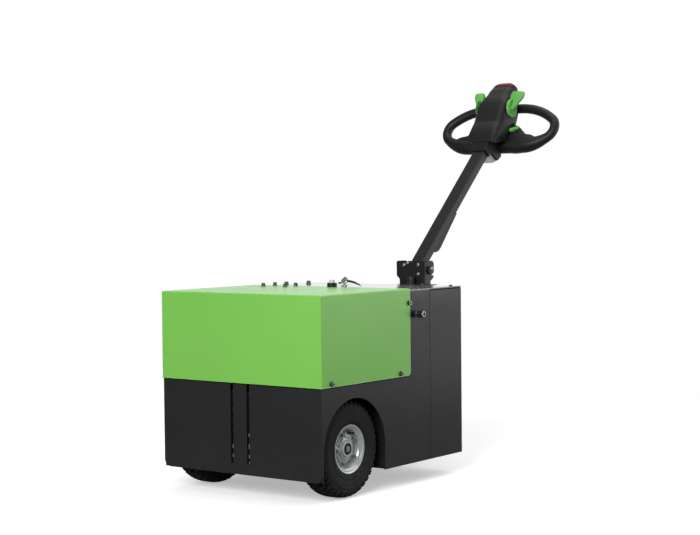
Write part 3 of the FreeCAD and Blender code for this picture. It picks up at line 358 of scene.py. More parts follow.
def rounded_section(half, back, face, bend, back_bend, fine=12):
    """Points round a rectangle whose front and back corners are rounded differently."""
    front = min(bend, half, (face - back) * 0.55)
    rear = min(back_bend, half, (face - back) - front - 0.4)
    points = []
    for x, off, radius, start in ((half, face, front, 0), (-half, face, front, 90),
                                  (-half, back, rear, 180), (half, back, rear, 270)):
        centre_x = x - copysign(radius, x)
        centre_off = off - radius if off == face else off + radius
        for i in range(fine + 1):
            a = radians(start + 90 * i / fine)
            points.append((centre_x + radius * cos(a), centre_off + radius * sin(a)))
    return points


def axis_frame(axis):
    """A rotation whose Z is the given axis and whose X stays as level as it can."""
    axis = axis.normalized()
    side = Z.cross(axis) if abs(axis.z) < 0.99 else X.copy()
    side.normalize()
    return Matrix((side, axis.cross(side), axis)).transposed()


# ---- mesh building

class Shape:
    """Collects turned, extruded and skinned forms into one mesh."""

    def __init__(self):
        self.mesh = bmesh.new()

    def ring(self, points):
        """Vertices at points given in metres."""
        return [self.mesh.verts.new(p) for p in points]

    def bridge(self, first, second):
        """Faces between two rings of as many vertices."""
        for i in range(len(first)):
            j = (i + 1) % len(first)
            self.mesh.faces.new((first[i], first[j], second[j], second[i]))

    def skin(self, rings, closed=False):
        """Join rings in their order, and close them to a loop or cap both ends."""
        for here, there in zip(rings, rings[1:] + (rings[:1] if closed else [])):
            self.bridge(here, there)
        if not closed:
            self.mesh.faces.new(list(reversed(rings[0])))
            self.mesh.faces.new(rings[-1])

    def lathe(self, profile, at, axis, segments=32):
        """Turn (radius, distance along the axis) pairs in millimetres about an axis."""
        turn = axis_frame(axis)
        rings = []
        for radius, along in profile:
            if radius <= 0:
                rings.append(self.ring([at + turn @ Vector((0, 0, along * MM))]))
                continue
            rings.append(self.ring(
                at + turn @ Vector((radius * cos(a), radius * sin(a), along)) * MM
                for a in full_turn(segments)))
        for here, there in zip(rings, rings[1:]):
            if len(here) == len(there) == segments:
                self.bridge(here, there)
                continue
            for i in range(segments):
                following = (i + 1) % segments
                if len(there) == segments:
                    self.mesh.faces.new((here[0], there[following], there[i]))
                else:
                    self.mesh.faces.new((here[i], here[following], there[0]))

    def prism(self, outline, at, axis, start, end, turn_by=0, taper=0):
        """Extrude a 2-D outline in metres along an axis, its far edge drawn in by a taper."""
        turn = axis_frame(axis) @ Matrix.Rotation(turn_by, 3, "Z")
        size = max(Vector(p).length for p in outline)

        def level(along, inset):
            share = 1 - inset / size
            return self.ring(at + turn @ Vector((x * share, y * share, along)) for x, y in outline)

        rings = [level(start, 0)]
        if taper:
            rings.append(level(end - taper, 0))
        rings.append(level(end, taper))
        self.skin(rings)

    def hexagon(self, size, at, axis, start, end, turn_by=0):
        """A hexagonal head in millimetres, given across its corners, chamfered at its far end."""
        points = [(size / 2 * cos(a) * MM, size / 2 * sin(a) * MM) for a in full_turn(6)]
        self.prism(points, at, axis, start * MM, end * MM, turn_by, taper=size * 0.05 * MM)

    def box(self, lowest, highest):
        """A box between two corners in metres."""
        (x0, y0, z0), (x1, y1, z1) = lowest, highest
        self.prism([(x0, y0), (x1, y0), (x1, y1), (x0, y1)], Vector(), Z, z0, z1)

    def bead(self, points, across, radius, sides=8):
        """A thin round bead through points that lie in a plane square to a direction."""
        rings = []
        for i, point in enumerate(points):
            along = (points[min(i + 1, len(points) - 1)] - points[max(i - 1, 0)]).normalized()
            out = along.cross(across).normalized()
            rings.append(self.ring(point + (out * cos(a) + across * sin(a)) * radius * MM
                                   for a in full_turn(sides)))
        self.skin(rings)

    def piece(self, name, body, slot, paint=None, bevel=0, sharp=32, segments=2):
        """Finish the mesh as an object that rides on a body; its paint is the slot's own
        unless another is given, and its bevel is in millimetres."""
        bmesh.ops.recalc_face_normals(self.mesh, faces=self.mesh.faces)
        data = bpy.data.meshes.new(name)
        self.mesh.to_mesh(data)
        self.mesh.free()
        data.shade_smooth()
        data.set_sharp_from_angle(angle=radians(sharp))
        made = bpy.data.objects.new(name, data)
        bpy.context.scene.collection.objects.link(made)
        data.materials.append(paint or MATERIALS[slot])
        if bevel:
            edge = made.modifiers.new("bevel", "BEVEL")
            edge.width = bevel * MM
            edge.segments = segments
            edge.limit_method = "ANGLE"
            edge.angle_limit = radians(sharp)
            edge.harden_normals = True
        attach(made, body)
        return made


def button_screw(shape, at, axis, radius=5, height=2.6):
    """A domed screw with a hexagon socket, standing on the surface at a point."""
    profile = [(1, 0), (1, 0.25), (0.93, 0.62), (0.74, 0.9), (0.5, 1), (0.44, 1), (0.4, 0.25),
               (0, 0.2)]
    shape.lathe([(radius * r, height * h) for r, h in profile], at, axis, 28)


def cap_screw(shape, at, axis, radius=6, height=6.8):
    """A socket head screw on a thin washer, standing on the surface at a point."""
    profile = [(1.15, 0), (1.15, 0.14), (1, 0.16), (1, 0.92), (0.92, 1), (0.52, 1), (0.5, 0.5),
               (0, 0.45)]
    shape.lathe([(radius * r, height * h) for r, h in profile], at, axis, 28)


def flange_bolt(shape, at, turn_by, across=11, height=7.5, washer=8):
    """An upright hexagon bolt with a washer under its head."""
    shape.lathe([(0, 0), (washer, 0), (washer, 1.3), (0, 1.3)], at, Z)
    shape.lathe([(across * 0.56, 1.3), (across * 0.53, 2.4), (0, 2.4)], at, Z)
    shape.hexagon(across * 1.1, at, Z, 2.2, 2.2 + height, turn_by)


# ---- camera and studio

CAMERA_AT = (2738, 3190, 752)  # right of the middle plane, ahead of the hood, above the floor
CAMERA_TURN = (36.58, 1.98, -0.543)  # degrees round the upright, down, and about its own axis
SENSOR_WIDTH = 36
LENS = 81.59143
WHITE = (1, 1, 1)


def look():
    """The camera at the photograph's station and angle."""
    yaw, pitch, roll = (radians(a) for a in CAMERA_TURN)
    forward = Vector((-sin(yaw) * cos(pitch), cos(yaw) * cos(pitch), -sin(pitch)))
    right = Vector((cos(yaw), sin(yaw), 0))
    up = right.cross(forward)
    right_turned = cos(roll) * right + sin(roll) * up
    up_turned = -sin(roll) * right + cos(roll) * up
    data = bpy.data.cameras.new("camera")
    data.sensor_width = SENSOR_WIDTH
    data.lens = LENS
    data.sensor_fit = "HORIZONTAL"
    data.clip_end = 60
    camera = bpy.data.objects.new("camera", data)
    turn = Matrix((right_turned, up_turned, -forward)).transposed().to_4x4()
    aside, ahead, above = CAMERA_AT
    camera.matrix_world = Matrix.Translation((aside * MM, behind(-ahead), above * MM)) @ turn
    bpy.context.scene.collection.objects.link(camera)
    bpy.context.scene.camera = camera


def area_light(name, at, aim, size, power):
    """A rectangular lamp at a point, turned to another, in metres and watts."""
    data = bpy.data.lights.new(name, "AREA")
    data.shape = "RECTANGLE"
    data.size, data.size_y = size
    data.energy = power
    lamp = bpy.data.objects.new(name, data)
    lamp.location = at
    lamp.rotation_euler = (Vector(aim) - Vector(at)).to_track_quat("-Z", "Y").to_euler()
    bpy.context.scene.collection.objects.link(lamp)


def make_world():
    """White as seen by the camera; as a light, bright behind the machine and dark in front."""
    world = bpy.data.worlds.new("studio")
    bpy.context.scene.world = world
    world.use_nodes = True
    tree = world.node_tree
    tree.nodes.clear()
    out = add(tree, "OutputWorld")
    coords = add(tree, "TexCoord")
    way = add(tree, "SeparateXYZ")
    link(tree, coords, "Generated", way, "Vector")
    strength = eased_range(tree, way, "Y", 0.15, 1.05, -0.1, 0.85)
    backdrop = plain_shader(tree, "Background", (0.97, 0.985, 1))
    link(tree, strength, "Result", backdrop, "Strength")
    white = plain_shader(tree, "Background", WHITE, 1)
    path = add(tree, "LightPath")
    seen = two_inputs(tree, "Math", "MAXIMUM", path.outputs["Is Camera Ray"],
                      path.outputs["Is Transmission Ray"])
    sky = shader_mix(tree, seen.outputs[0], backdrop, white)
    tree.links.new(sky.outputs[0], out.inputs["Surface"])


def make_floor():
    """A pale floor that fades to white round the machine; in reflections it is dim, and
    bright only far behind."""
    bpy.ops.mesh.primitive_plane_add(size=40, location=(0, 0, -0.5 * MM))
    floor = bpy.context.object
    floor.name = "floor"
    paint = bpy.data.materials.new("floor_white")
    paint.use_nodes = True
    tree = paint.node_tree
    tree.nodes.clear()
    out = add(tree, "OutputMaterial")
    coords = add(tree, "TexCoord")
    near = add(tree, "AddShader")
    shaded = plain_shader(tree, "BsdfDiffuse", (0.8, 0.8, 0.8))
    glow = plain_shader(tree, "Emission", WHITE, 0.42)
    tree.links.new(shaded.outputs[0], near.inputs[0])
    tree.links.new(glow.outputs[0], near.inputs[1])
    white = plain_shader(tree, "Emission", WHITE, 1)
    length = add(tree, "VectorMath")
    length.operation = "LENGTH"
    link(tree, coords, "Object", length, "Vector")
    away = eased_range(tree, length, "Value", 0, 1, 0.9, 1.9)
    seen = shader_mix(tree, away.outputs["Result"], near, white)
    dim = plain_shader(tree, "BsdfDiffuse", (0.26, 0.26, 0.26))
    apart = add(tree, "SeparateXYZ")
    link(tree, coords, "Object", apart, "Vector")
    beyond = eased_range(tree, apart, "Y", 0, 1, 0.5, 3.2)
    mirrored = shader_mix(tree, beyond.outputs["Result"], dim, white)
    path = add(tree, "LightPath")
    surface = shader_mix(tree, path.outputs["Is Camera Ray"], mirrored, seen)
    tree.links.new(surface.outputs[0], out.inputs["Surface"])
    floor.data.materials.append(paint)


def studio():
    """Lamps, world and floor."""
    bpy.context.scene.view_settings.view_transform = "Standard"
    area_light("key_light", (1.25, -4.4, 2.4), (0, -0.3, 0.35), (2.2, 2), 188)
    area_light("front_light", (-1.5, -3.5, 0.9), (0.1, -0.6, 0.35), (0.9, 1.3), 5)
    area_light("rear_light", (2.2, 1.7, 1.1), (0.2, -0.4, 0.4), (1.5, 1.5), 12)
    area_light("top_light", (0.2, 0.2, 4.4), (0, 0, 0.4), (3.2, 3.2), 60)
    make_world()
    make_floor()


# ---- tyres

# Right half of the tread's outline, from the crown: (distance from the middle plane, radius).
TYRE_LINE = [(0, 130), (15, 130), (28, 128), (35, 125), (41, 114),
             (42.5, 97), (41.5, 87)]
SIDEWALL = [(39, 115), (41.2, 107), (41.9, 104), (42.5, 103.2), (42.5, 101.8),
            (42, 101), (42.4, 95), (41.8, 88), (41, 81), (41.7, 79.6), (41.7, 77.6),
            (40.6, 76.4), (39.6, 72), (38.9, 68.4), (37.4, 66.2), (36, 65.2), (34.4, 63.6),
            (31, 59.6), (28, 56), (20, 54.6)]
TREAD_DEPTH = 4.2
BLOCK_ROOT = 6.5
BLOCKS_ROUND = 38
LUG_TAPER = 0.18
LUG_SINK = 1.6
PITCH = 2 * pi / BLOCKS_ROUND
# Rows of blocks on each half of the tread: where a row starts and ends from the crown, the
# share of the pitch that a block fills, its lean and its shift, in pitches.
MIDDLE_ROWS = ((1.2, 13, 0.62, 0.1, 0), (15.2, 27.2, 0.6, -0.08, 0.5))
SHOULDER_ROW = (29.6, 47.5, 0.56, 0.04, 0)


def on_tyre(along, depth=0):
    """Point of the tyre's section this far from the crown along its outline, sunk by a
    depth: (distance from the middle plane, radius)."""
    rest = along
    for (x0, r0), (x1, r1) in zip(TYRE_LINE, TYRE_LINE[1:]):
        span = hypot(x1 - x0, r1 - r0)
        if rest <= span or (x1, r1) == TYRE_LINE[-1]:
            break
        rest -= span
    t = rest / span
    x, r = x0 + (x1 - x0) * t, r0 + (r1 - r0) * t
    across, out = (r0 - r1) / span, (x1 - x0) / span
    return x - across * depth, r - out * depth


def tread_block(shape, centre, hand, number, row):
    """One block of a row on one half of the tread; shoulder lugs narrow and sink outwards."""
    start, end, width, lean, shift = row
    around = (number + shift + (0.5 if hand < 0 else 0)) * PITCH
    shoulder = row is SHOULDER_ROW
    stations = 6 if shoulder else 3
    rings = []
    for step in range(stations):
        t = step / (stations - 1)
        along = start + (end - start) * t
        half = PITCH * width / 2 * (1 - LUG_TAPER * t if shoulder else 1)
        skew = lean * PITCH * (t - 0.5) * 2
        sunk = 0.25 if step in (0, stations - 1) else 0
        if shoulder:
            sunk += LUG_SINK * t ** 3
        levels = [(BLOCK_ROOT, 1.08), (sunk + 0.5, 1), (sunk, 0.93)]
        section = [(*on_tyre(along, depth), skew - half * grow) for depth, grow in levels]
        section += [(*on_tyre(along, depth), skew + half * grow) for depth, grow in reversed(levels)]
        rings.append(shape.ring(
            centre + Vector((x * hand, r * cos(around + a), r * sin(around + a))) * MM
            for x, r, a in section))
    shape.skin(rings)


def make_tyre(name):
    """A pneumatic tyre with block tread, shoulder lugs and moulded sidewall rings."""
    node = f"{name}_tyre"
    centre = middle(node)
    shape = Shape()
    skin = [on_tyre(along, TREAD_DEPTH) for along in (0, 8, 16, 22, 28, 34)] + SIDEWALL
    outline = [(-x, r) for x, r in reversed(skin)] + skin[1:]
    outline.append(outline[0])
    shape.lathe([(r, x) for x, r in outline], centre, X, 144)
    for number in range(BLOCKS_ROUND):
        for hand in (-1, 1):
            for row in (*MIDDLE_ROWS, SHOULDER_ROW):
                tread_block(shape, centre, hand, number, row)
    made = shape.piece(f"{name}_block_tread", name, "tyre", sharp=28)
    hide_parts(node)


# ---- rims and hubs

RIM_SEGMENTS = 160
RIM_BOLTS = 5
FIRST_BOLT = radians(38)
BOLT_CIRCLE = 40
BOLT_FACE = 24
VALVE_AT = (26, 43, radians(74))  # out from the wheel's middle, from its axis, angle
PAD_DEPTH = 8.5
# Section of the rolled rim: (radius, distance out from the middle plane).
RIM_LINE = [(63.2, 38.3), (61.8, 38.2), (60.4, 37.2), (59, 35.2), (57.6, 33.2), (56, 31.8),
            (54.2, 30.9), (52.9, 29.9), (52.2, 28.4), (51.9, 26), (50.9, 25), (50.9, 10),
            (47, 10), (47, -33), (57, -34.5), (61.6, -37), (64.8, -38.5), (65, -37),
            (62, -35.5), (53.5, -33.5), (53.5, 28), (57, 31), (60, 34.9), (62.8, 36.4),
            (64.4, 36.6), (65, 37.4), (64.6, 38.5), (63.2, 38.3)]
# Section of the pressed disc, with the share of the sink between its pads at each point.
DISC_LINE = [(51.6, 23, 0), (50.6, 22, 0), (49.6, 20.6, 0.1), (48.4, 20.2, 0.4), (46.6, 21, 0.8),
             (44, 23, 1), (40, 24.6, 1), (35, 25.6, 1), (31, 26.2, 0.7), (28.6, 26.8, 0.2),
             (26.5, 27.4, 0), (23, 27.6, 0), (21.3, 27.2, 0),
             (21.3, 20, 0), (30, 15, 0), (45, 12, 0), (51.6, 12, 0)]


def on_wheel(centre, side, out, radius, angle):
    """Point of a wheel this far out from its middle plane and from its axis, at an angle."""
    return centre + Vector((out * side, radius * cos(angle), radius * sin(angle))) * MM


def make_rim(name, side):
    """The rolled rim, a lathe over its section."""
    node = f"{name}_rim"
    shape = Shape()
    shape.lathe(RIM_LINE, middle(node), X * side, RIM_SEGMENTS)
    made = shape.piece(f"{name}_rolled_rim", name, "zinc", sharp=40)
    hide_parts(node)


def make_disc(name, side):
    """The disc in the rim, pressed in between its bolt pads, in a darker copy of the rim's steel as
    painted shade.
    """
    centre = middle(f"{name}_rim")
    shape = Shape()
    rings = []
    for radius, out, sink in DISC_LINE:
        points = []
        for a in full_turn(RIM_SEGMENTS):
            wave = 0.5 - 0.5 * cos(RIM_BOLTS * (a - FIRST_BOLT))
            points.append(on_wheel(centre, side, out - PAD_DEPTH * sink * wave ** 0.8, radius, a))
        rings.append(shape.ring(points))
    shape.skin(rings, closed=True)
    shape.piece(f"{name}_pressed_disc", name, "zinc", DISC_ZINC_SHADED, sharp=40)


def make_rim_bolts(name, side):
    """Bolts on the pads, with washers and threads, and the tyre's valve."""
    centre = middle(f"{name}_rim")
    axis = X * side
    bolts = Shape()
    for number, a in enumerate(full_turn(RIM_BOLTS)):
        at = on_wheel(centre, side, BOLT_FACE, BOLT_CIRCLE, FIRST_BOLT + a)
        bolts.lathe([(0, 0), (6.4, 0), (6.4, 1), (0, 1)], at, axis, 24)
        bolts.hexagon(10.4, at, axis, 1, 5.6, 0.3 * number)
        bolts.lathe([(2.9, 5.4), (2.9, 8.6), (2.3, 9.4), (0, 9.4)], at, axis, 16)
    bolts.piece(f"{name}_rim_bolts", name, "zinc", BOLT_ZINC)
    valve = Shape()
    valve.lathe([(4.6, -2), (4.4, 1), (3, 3), (2.6, 11), (3.2, 11.2), (3.2, 17), (2.6, 18), (0, 18)],
                on_wheel(centre, side, *VALVE_AT), axis, 20)
    valve.piece(f"{name}_valve", name, "grip_black")


def make_hub(name, side):
    """The hub's bright end ring, a black disc in its bore as painted shade, and the axle's nut and snap
    ring in it.
    """
    hub = f"{name}_hub"
    axis = X * side
    at = middle(f"{name}_rim")
    at.x = high(hub).x if side > 0 else low(hub).x
    ring = Shape()
    ring.lathe([(20.6, -1), (20.9, 0.2), (20.2, 1), (17.2, 1), (16.4, 0.2), (16.2, -3.4), (19.5, -3.6)],
               at, axis, 64)
    ring.piece(f"{name}_hub_ring", name, "zinc")
    # The black disc in the bore is painted shade.
    bore = Shape()
    bore.lathe([(15.6, -0.4), (15.6, 0.25), (0, 0.25)], at, axis, 48)
    bore.piece(f"{name}_hub_bore_shade", name, "seal_rubber", SHADOW_BLACK)
    nut = Shape()
    nut.hexagon(11, at, axis, 0.2, 3.2, 0.4)
    nut.lathe([(8.6, 0.2), (8.6, 1.2), (0, 1.2)], at, axis)
    nut.piece(f"{name}_hub_nut", name, "zinc", BOLT_ZINC)
    clip = Shape()
    clip.lathe([(15.9, 0.05), (15.7, 0.9), (12.6, 0.9), (12.6, 0.05)], at, axis, 48)
    clip.piece(f"{name}_snap_ring", name, "frame_steel", BOLT_DARK)


# ---- fasteners on the body

HOOD_SCREWS = ((42, 312), (353, 312), (394, 503))  # behind the hood's front, above the floor
LID_SCREWS = ((150, 650), (-150, 650), (255, 640))  # from the middle plane, behind the front
HOOD_BOLTS = ((-190, 335), (-190, 388), (-113, 339), (-113, 388))
DECK_BOLTS = ((-226, 486), (-205, 566))


def make_hood_screws():
    """Socket screws along the hood's sides, with bright rings on their heads as painted highlights."""
    screws, faces = Shape(), Shape()
    for side, _ in SIDES:
        for distance, height in HOOD_SCREWS:
            at = Vector((high("hood").x * side, behind(distance), height * MM))
            cap_screw(screws, at, X * side)
            # The bright ring on each screw's head is a painted highlight.
            faces.lathe([(5.6, 6.55), (5.3, 7), (3.5, 7), (3.4, 6.5)], at, X * side, 28)
    screws.piece("hood_screws", "chassis", "zinc", BOLT_DARK)
    faces.piece("screw_glints", "chassis", "zinc", BOLT_ZINC)


def make_top_bolts():
    """Screws of the rear lid, and the bolts that stand on the hood and the deck."""
    lid = Shape()
    for x, distance in LID_SCREWS:
        button_screw(lid, Vector((x * MM, behind(distance), high("rear_lid").z)), Z, 5.4, 3.4)
    lid.piece("lid_screws", "chassis", "zinc", BOLT_DARK)
    bolts = Shape()
    for places, node, turn_by in ((HOOD_BOLTS, "hood", 0.3), (DECK_BOLTS, "deck_plate", 0.7)):
        for number, (x, distance) in enumerate(places):
            at = Vector((x * MM, behind(distance), high(node).z))
            flange_bolt(bolts, at, turn_by + number)
    bolts.piece("deck_bolts", "chassis", "zinc", BOLT_GREY)


def make_rear_screws():
    """Two rows of screws down the rear panel."""
    rear = Shape()
    for x in (-240, 240):
        for height in (85, 300, 505):
            button_screw(rear, Vector((x * MM, high("rear_panel").y, height * MM)), Y)
    rear.piece("rear_screws", "chassis", "zinc", BOLT_DARK)


# ---- key and controls

BOW_RADIUS = 7.6
BOW_THICK = 2.4
BOW_HEIGHT = 14.5
BOW_TURN = radians(40)
FOB_ARCH = 3.5
FOB_END = (59, 474, 541.5)  # from the middle plane, behind the hood's front, above the floor
# The fob from the key's bow to its tip: share of its length, half its width, half its thickness.
FOB_LINE = ((0, 1.6, 2.2), (0.06, 3, 3), (0.16, 6, 3.6), (0.34, 8.6, 3.4), (0.56, 8.6, 3),
            (0.76, 6.4, 2.4), (0.9, 3.6, 1.6), (1, 0.8, 0.8))


def make_key():
    """The key in its switch, with a leather-like fob lying beside it."""
    at = middle("key_switch")
    at.z = high("key_switch").z
    lock = Shape()
    lock.lathe([(7.4, 0), (7.2, 1.4), (5.6, 2), (5.4, 1), (0, 1)], at, Z, 40)
    lock.piece("key_barrel", "chassis", "chrome_trim", BOLT_ZINC)

    across = Vector((cos(BOW_TURN), sin(BOW_TURN), 0))
    facing = across.cross(Z)
    bow = at + Z * (BOW_HEIGHT * MM)
    key = Shape()
    rings = []
    for a in full_turn(40):
        out = across * cos(a) + Z * sin(a)
        rings.append(key.ring(
            bow + (out * (BOW_RADIUS + BOW_THICK * cos(b))
                   + facing * (BOW_THICK * 0.6 * sin(b))) * MM for b in full_turn(10)))
    key.skin(rings, closed=True)
    key.lathe([(2.6, 0), (2.6, 5.6), (0, 5.8)], at, Z, 16)
    key.lathe([(0, -0.9), (7, -0.9), (7, 0.9), (0, 0.9)], bow, facing)
    key.piece("key", "chassis", "chrome_trim", BOLT_ZINC)

    fob = Shape()
    start = bow + across * (6 * MM) - Z * (2 * MM)
    end_x, end_distance, end_height = FOB_END
    along = Vector((end_x * MM, behind(end_distance), end_height * MM)) - start
    wide = along.cross(Z).normalized()
    rings = []
    for t, half, thick in FOB_LINE:
        spot = start + along * t + Z * (FOB_ARCH * MM * sin(pi * t))
        rings.append(fob.ring(spot + (wide * half * cos(b) + Z * thick * sin(b)) * MM
                              for b in full_turn(14)))
    fob.skin(rings)
    fob.piece("key_fob", "chassis", "seal_rubber", FOB_BROWN)


def make_button_cap():
    """The pale cap of the push button on the deck."""
    at = middle("deck_button")
    at.z = high("deck_button").z
    cap = Shape()
    cap.lathe([(8.6, -8.2), (8.4, -1.6), (7.6, -0.1), (5, 0.5), (0, 0.7)], at, Z, 40)
    cap.piece("button_cap", "chassis", "chrome_trim", CAP_PALE)


def make_knobs():
    """Bright hexagon nuts on the pull knobs' flanges, which also stand for the flanges' highlights, and
    bright rings at the knobs' ends as painted highlights.
    """
    rings = Shape()
    for side, name in SIDES:
        node = f"pull_knob_{name}"
        at = middle(node)
        at.x = low(node).x if side > 0 else high(node).x
        rings.lathe([(6.8, 3), (6.8, 7), (5.8, 8), (4.6, 8)], at, X * side, 6)
        rings.lathe([(8, 25.6), (8.5, 26.2), (8.5, 28.8), (7.8, 29.9), (5.6, 29.9)], at, X * side, 40)
    rings.piece("knob_nuts_and_end_highlights", "chassis", "chrome_trim", BOLT_ZINC)


# ---- joint lines, slots and hem

# Painted shadow lines round the hood: from and to behind its front, and above the floor.
HOOD_SHADOW_LINES = (((3.5, 403), (300.5, 303)), ((402.4, 404), (303, 538.5)))
FRONT_SHADOW_LINE = ((-274, 274), (2.3, 3.3), (300.5, 303))
# Pale bolt ends seen in the slots: from the middle plane, lower end, upper end.
SLOT_BOLTS = ((30, 161, 171), (30, 129, 143), (30, 104, 114), (30, 89, 95), (-26, 127, 138),
              (-26, 103, 113))
HEM_RADIUS = 0.9
HEM_BEND = 8.8
HEM_BACK = 401.2
HEM_HALF = 276.5


def strip(shape, across, back, up):
    """A box in millimetres: from the middle plane, behind the hood's front, above the floor."""
    first, last = sorted(across)
    shape.box((first * MM, behind(back[0]), up[0] * MM), (last * MM, behind(back[1]), up[1] * MM))


def make_seams():
    """Painted shadow lines under and behind the hood's edges, and softer dark joint lines where the sides
    meet.
    """
    # seam gathers the painted shadow lines under the hood's edges; joint gathers the dark joint lines.
    seam, joint = Shape(), Shape()
    panel = high("side_panel_right")
    wall = panel.x / MM
    end = (panel.y - FRONT) / MM
    for side, _ in SIDES:
        strip(joint, (wall * side, (wall + 0.3) * side), (end - 0.5, end + 0.5), (60, 531))
        for back, up in HOOD_SHADOW_LINES:
            strip(seam, (wall * side, (wall + 0.6) * side), back, up)
    strip(seam, *FRONT_SHADOW_LINE)
    seam.piece("hood_shadow_lines", "chassis", "body_black", SHADOW_BLACK)
    joint.piece("side_joints", "chassis", "body_black", JOINT_DARK)


def make_slots():
    """Near-black liners on the slots' left walls as painted shade, and the pale bolt ends seen in them.
    """
    liner = Shape()
    for x in (-28, 28):
        strip(liner, (x - 4.5, x - 4.1), (3.1, 6.95), (88.5, 300.5))
    liner.piece("slot_shade_liners", "chassis", "body_black", SHADOW_BLACK)
    ends = Shape()
    for x, bottom, top in SLOT_BOLTS:
        strip(ends, (x - 1.9, x + 1.9), (4, 6.9), (bottom, top))
    ends.piece("slot_bolts", "chassis", "zinc", BOLT_ZINC, bevel=0.8)


def make_hem():
    """A thin bead along the hood's sheet edge, painted pale green as the highlight of the lit edge,
    rounded at its lower rear corners.
    """
    bottom = low("hood").z + 0.8 * MM
    back = behind(HEM_BACK)
    bend = HEM_BEND * MM
    edge = [(behind(0.2), bottom)]
    for step in range(0, 91, 10):
        a = radians(step)
        edge.append((back - bend + bend * sin(a), bottom + bend - bend * cos(a)))
    edge.append((back, high("hood").z - 1 * MM))
    hem = Shape()
    for side, _ in SIDES:
        x = (high("hood").x - 0.7 * MM) * side
        hem.bead([Vector((x, y, z)) for y, z in edge], X, HEM_RADIUS)
    hem.bead([Vector((x * MM, behind(HEM_RADIUS), bottom)) for x in (-HEM_HALF, HEM_HALF)],
             Y, HEM_RADIUS)
    hem.piece("hood_hem_highlight", "chassis", "hood_green", EDGE_HIGHLIGHT_GREEN, sharp=60)


# ---- tiller bracket and arm

PLATE_SCREWS = ((28, 591), (28, 563), (-24, 590), (-11, 597))  # from the middle plane, up
CHEEK_SCREWS = (593, 566)  # up
CHEEK_FACE = 52
# Lower leg of the right cheek: behind the hood's front, above the floor.
LEG_LINE = ((816, 531), (842, 531), (842, 541), (858, 551), (859.5, 558), (816, 558))
ARM_ANGLE = radians(43.6)
# Side view of the cable cover: along the arm from its pin, square to the arm.
COVER_LINE = ((94, -12.6), (96, -19), (101, -25), (109, -29), (118, -31.4), (128, -32.3),
              (266, -20.5), (269.5, -16), (270, -12.6))
# Slices of the cover: from the middle plane, drawn in by.
COVER_SLICES = ((-19.4, 1.6), (-18.4, 0.4), (-16.5, 0), (16.5, 0), (18.4, 0.4), (19.4, 1.6))


def make_bracket_screws():
    """Screws of the tiller bracket's plate and left cheek, and the end of its pin."""
    face = low("tiller_bracket").y
    screws = Shape()
    for x, height in PLATE_SCREWS:
        button_screw(screws, Vector((x * MM, face, height * MM)), -Y, 6, 4.2)
    for height in CHEEK_SCREWS:
        at = Vector((-CHEEK_FACE * MM, face + 12 * MM, height * MM))
        button_screw(screws, at, -X, 5.6, 4)
    pin = middle("tiller_pin")
    button_screw(screws, Vector((high("tiller_pin").x, pin.y, pin.z + 3 * MM)), X, 7, 3.4)
    screws.piece("bracket_screws", "chassis", "zinc", BOLT_ZINC)


def make_bracket_leg():
    """The lower leg of the bracket's right cheek, with its flange."""
    face = low("tiller_bracket").y
    leg = Shape()
    leg.skin([leg.ring(Vector((x * MM, behind(back), height * MM)) for back, height in LEG_LINE)
              for x in (46.2, 51.8)])
    leg.box((40.5 * MM, face + 0.3 * MM, 531 * MM), (51.8 * MM, face + 6 * MM, 558.5 * MM))
    leg.piece("bracket_leg", "chassis", "frame_steel", bevel=0.6)


def make_bump_stop():
    """The washer under the bump stop, and two grey rings near its top as painted highlights on its rim.
    """
    foot = middle("bump_stop")
    foot.z = low("bump_stop").z
    top = (high("bump_stop").z - foot.z) / MM
    stop = Shape()
    stop.lathe([(0, 0), (13, 0), (13, 4.2), (12.4, 5), (10.8, 5)], foot, Z, 40)
    # The two rings near the top are painted highlights on the stop's rim.
    stop.lathe([(10.9, top - 1.6), (11.5, top - 1.2), (11.4, top + 0.2), (10.4, top + 0.7),
                (9, top + 0.2)], foot, Z, 40)
    stop.lathe([(10.9, top - 6.4), (11.4, top - 6), (11.4, top - 5), (10.9, top - 4.6)], foot, Z, 40)
    stop.piece("stop_washer_and_rim_highlights", "chassis", "zinc", BOLT_GREY)


def make_cover():
    """The moulded cable cover under the arm, rounded at its lower end."""
    pin = middle("tiller_pin")
    along = Vector((0, cos(ARM_ANGLE), sin(ARM_ANGLE)))
    above = Vector((0, -sin(ARM_ANGLE), cos(ARM_ANGLE)))
    cover = Shape()
    cover.skin([cover.ring(pin + (X * x + along * a + above * b) * MM
                           for a, b in inward(COVER_LINE, inset))
                for x, inset in COVER_SLICES])
    made = cover.piece("cable_cover", "tiller", "grip_black", sharp=40)
    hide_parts("arm_cover")


# ---- tiller head

# The head's own frame: its foot, the way up it and the way off its face.
HEAD = Vector((0, behind(1272.95), 906.86 * MM))
HEAD_ANGLE = radians(62)
UP_HEAD = Vector((0, cos(HEAD_ANGLE), sin(HEAD_ANGLE)))
OFF_HEAD = Vector((0, -sin(HEAD_ANGLE), cos(HEAD_ANGLE)))
# Rows: up the head, half width, back, face, bend at the face, bend at the back.
HOUSING_ROWS = (
    (35.2, 50, 76, 86, 5, 5), (49.2, 54, 55, 89, 14, 10), (68.2, 57, 22, 90, 20, 14),
    (84.2, 57, -20, 89, 24, 20), (99.2, 57, -26, 86, 24, 26), (117.2, 57, -26, 82, 24, 26),
    (148.2, 57, -26, 82, 24, 30), (186.2, 57, -24, 80, 25, 30), (203, 53, -20, 77, 26, 28),
    (228, 47.5, -11, 67, 26, 26), (248, 45.5, -6, 60, 25, 24), (266, 43, -2, 50, 24, 24))
BUTTON_ROWS = (
    (266, 43, -2, 50, 24, 24), (271, 42.5, -1.5, 49, 24, 24), (278, 39.5, 2, 45, 20, 20),
    (283.9, 32, 9, 39, 14, 14), (288.1, 24, 13, 35, 10, 10), (290, 17, 17, 31, 6, 6))
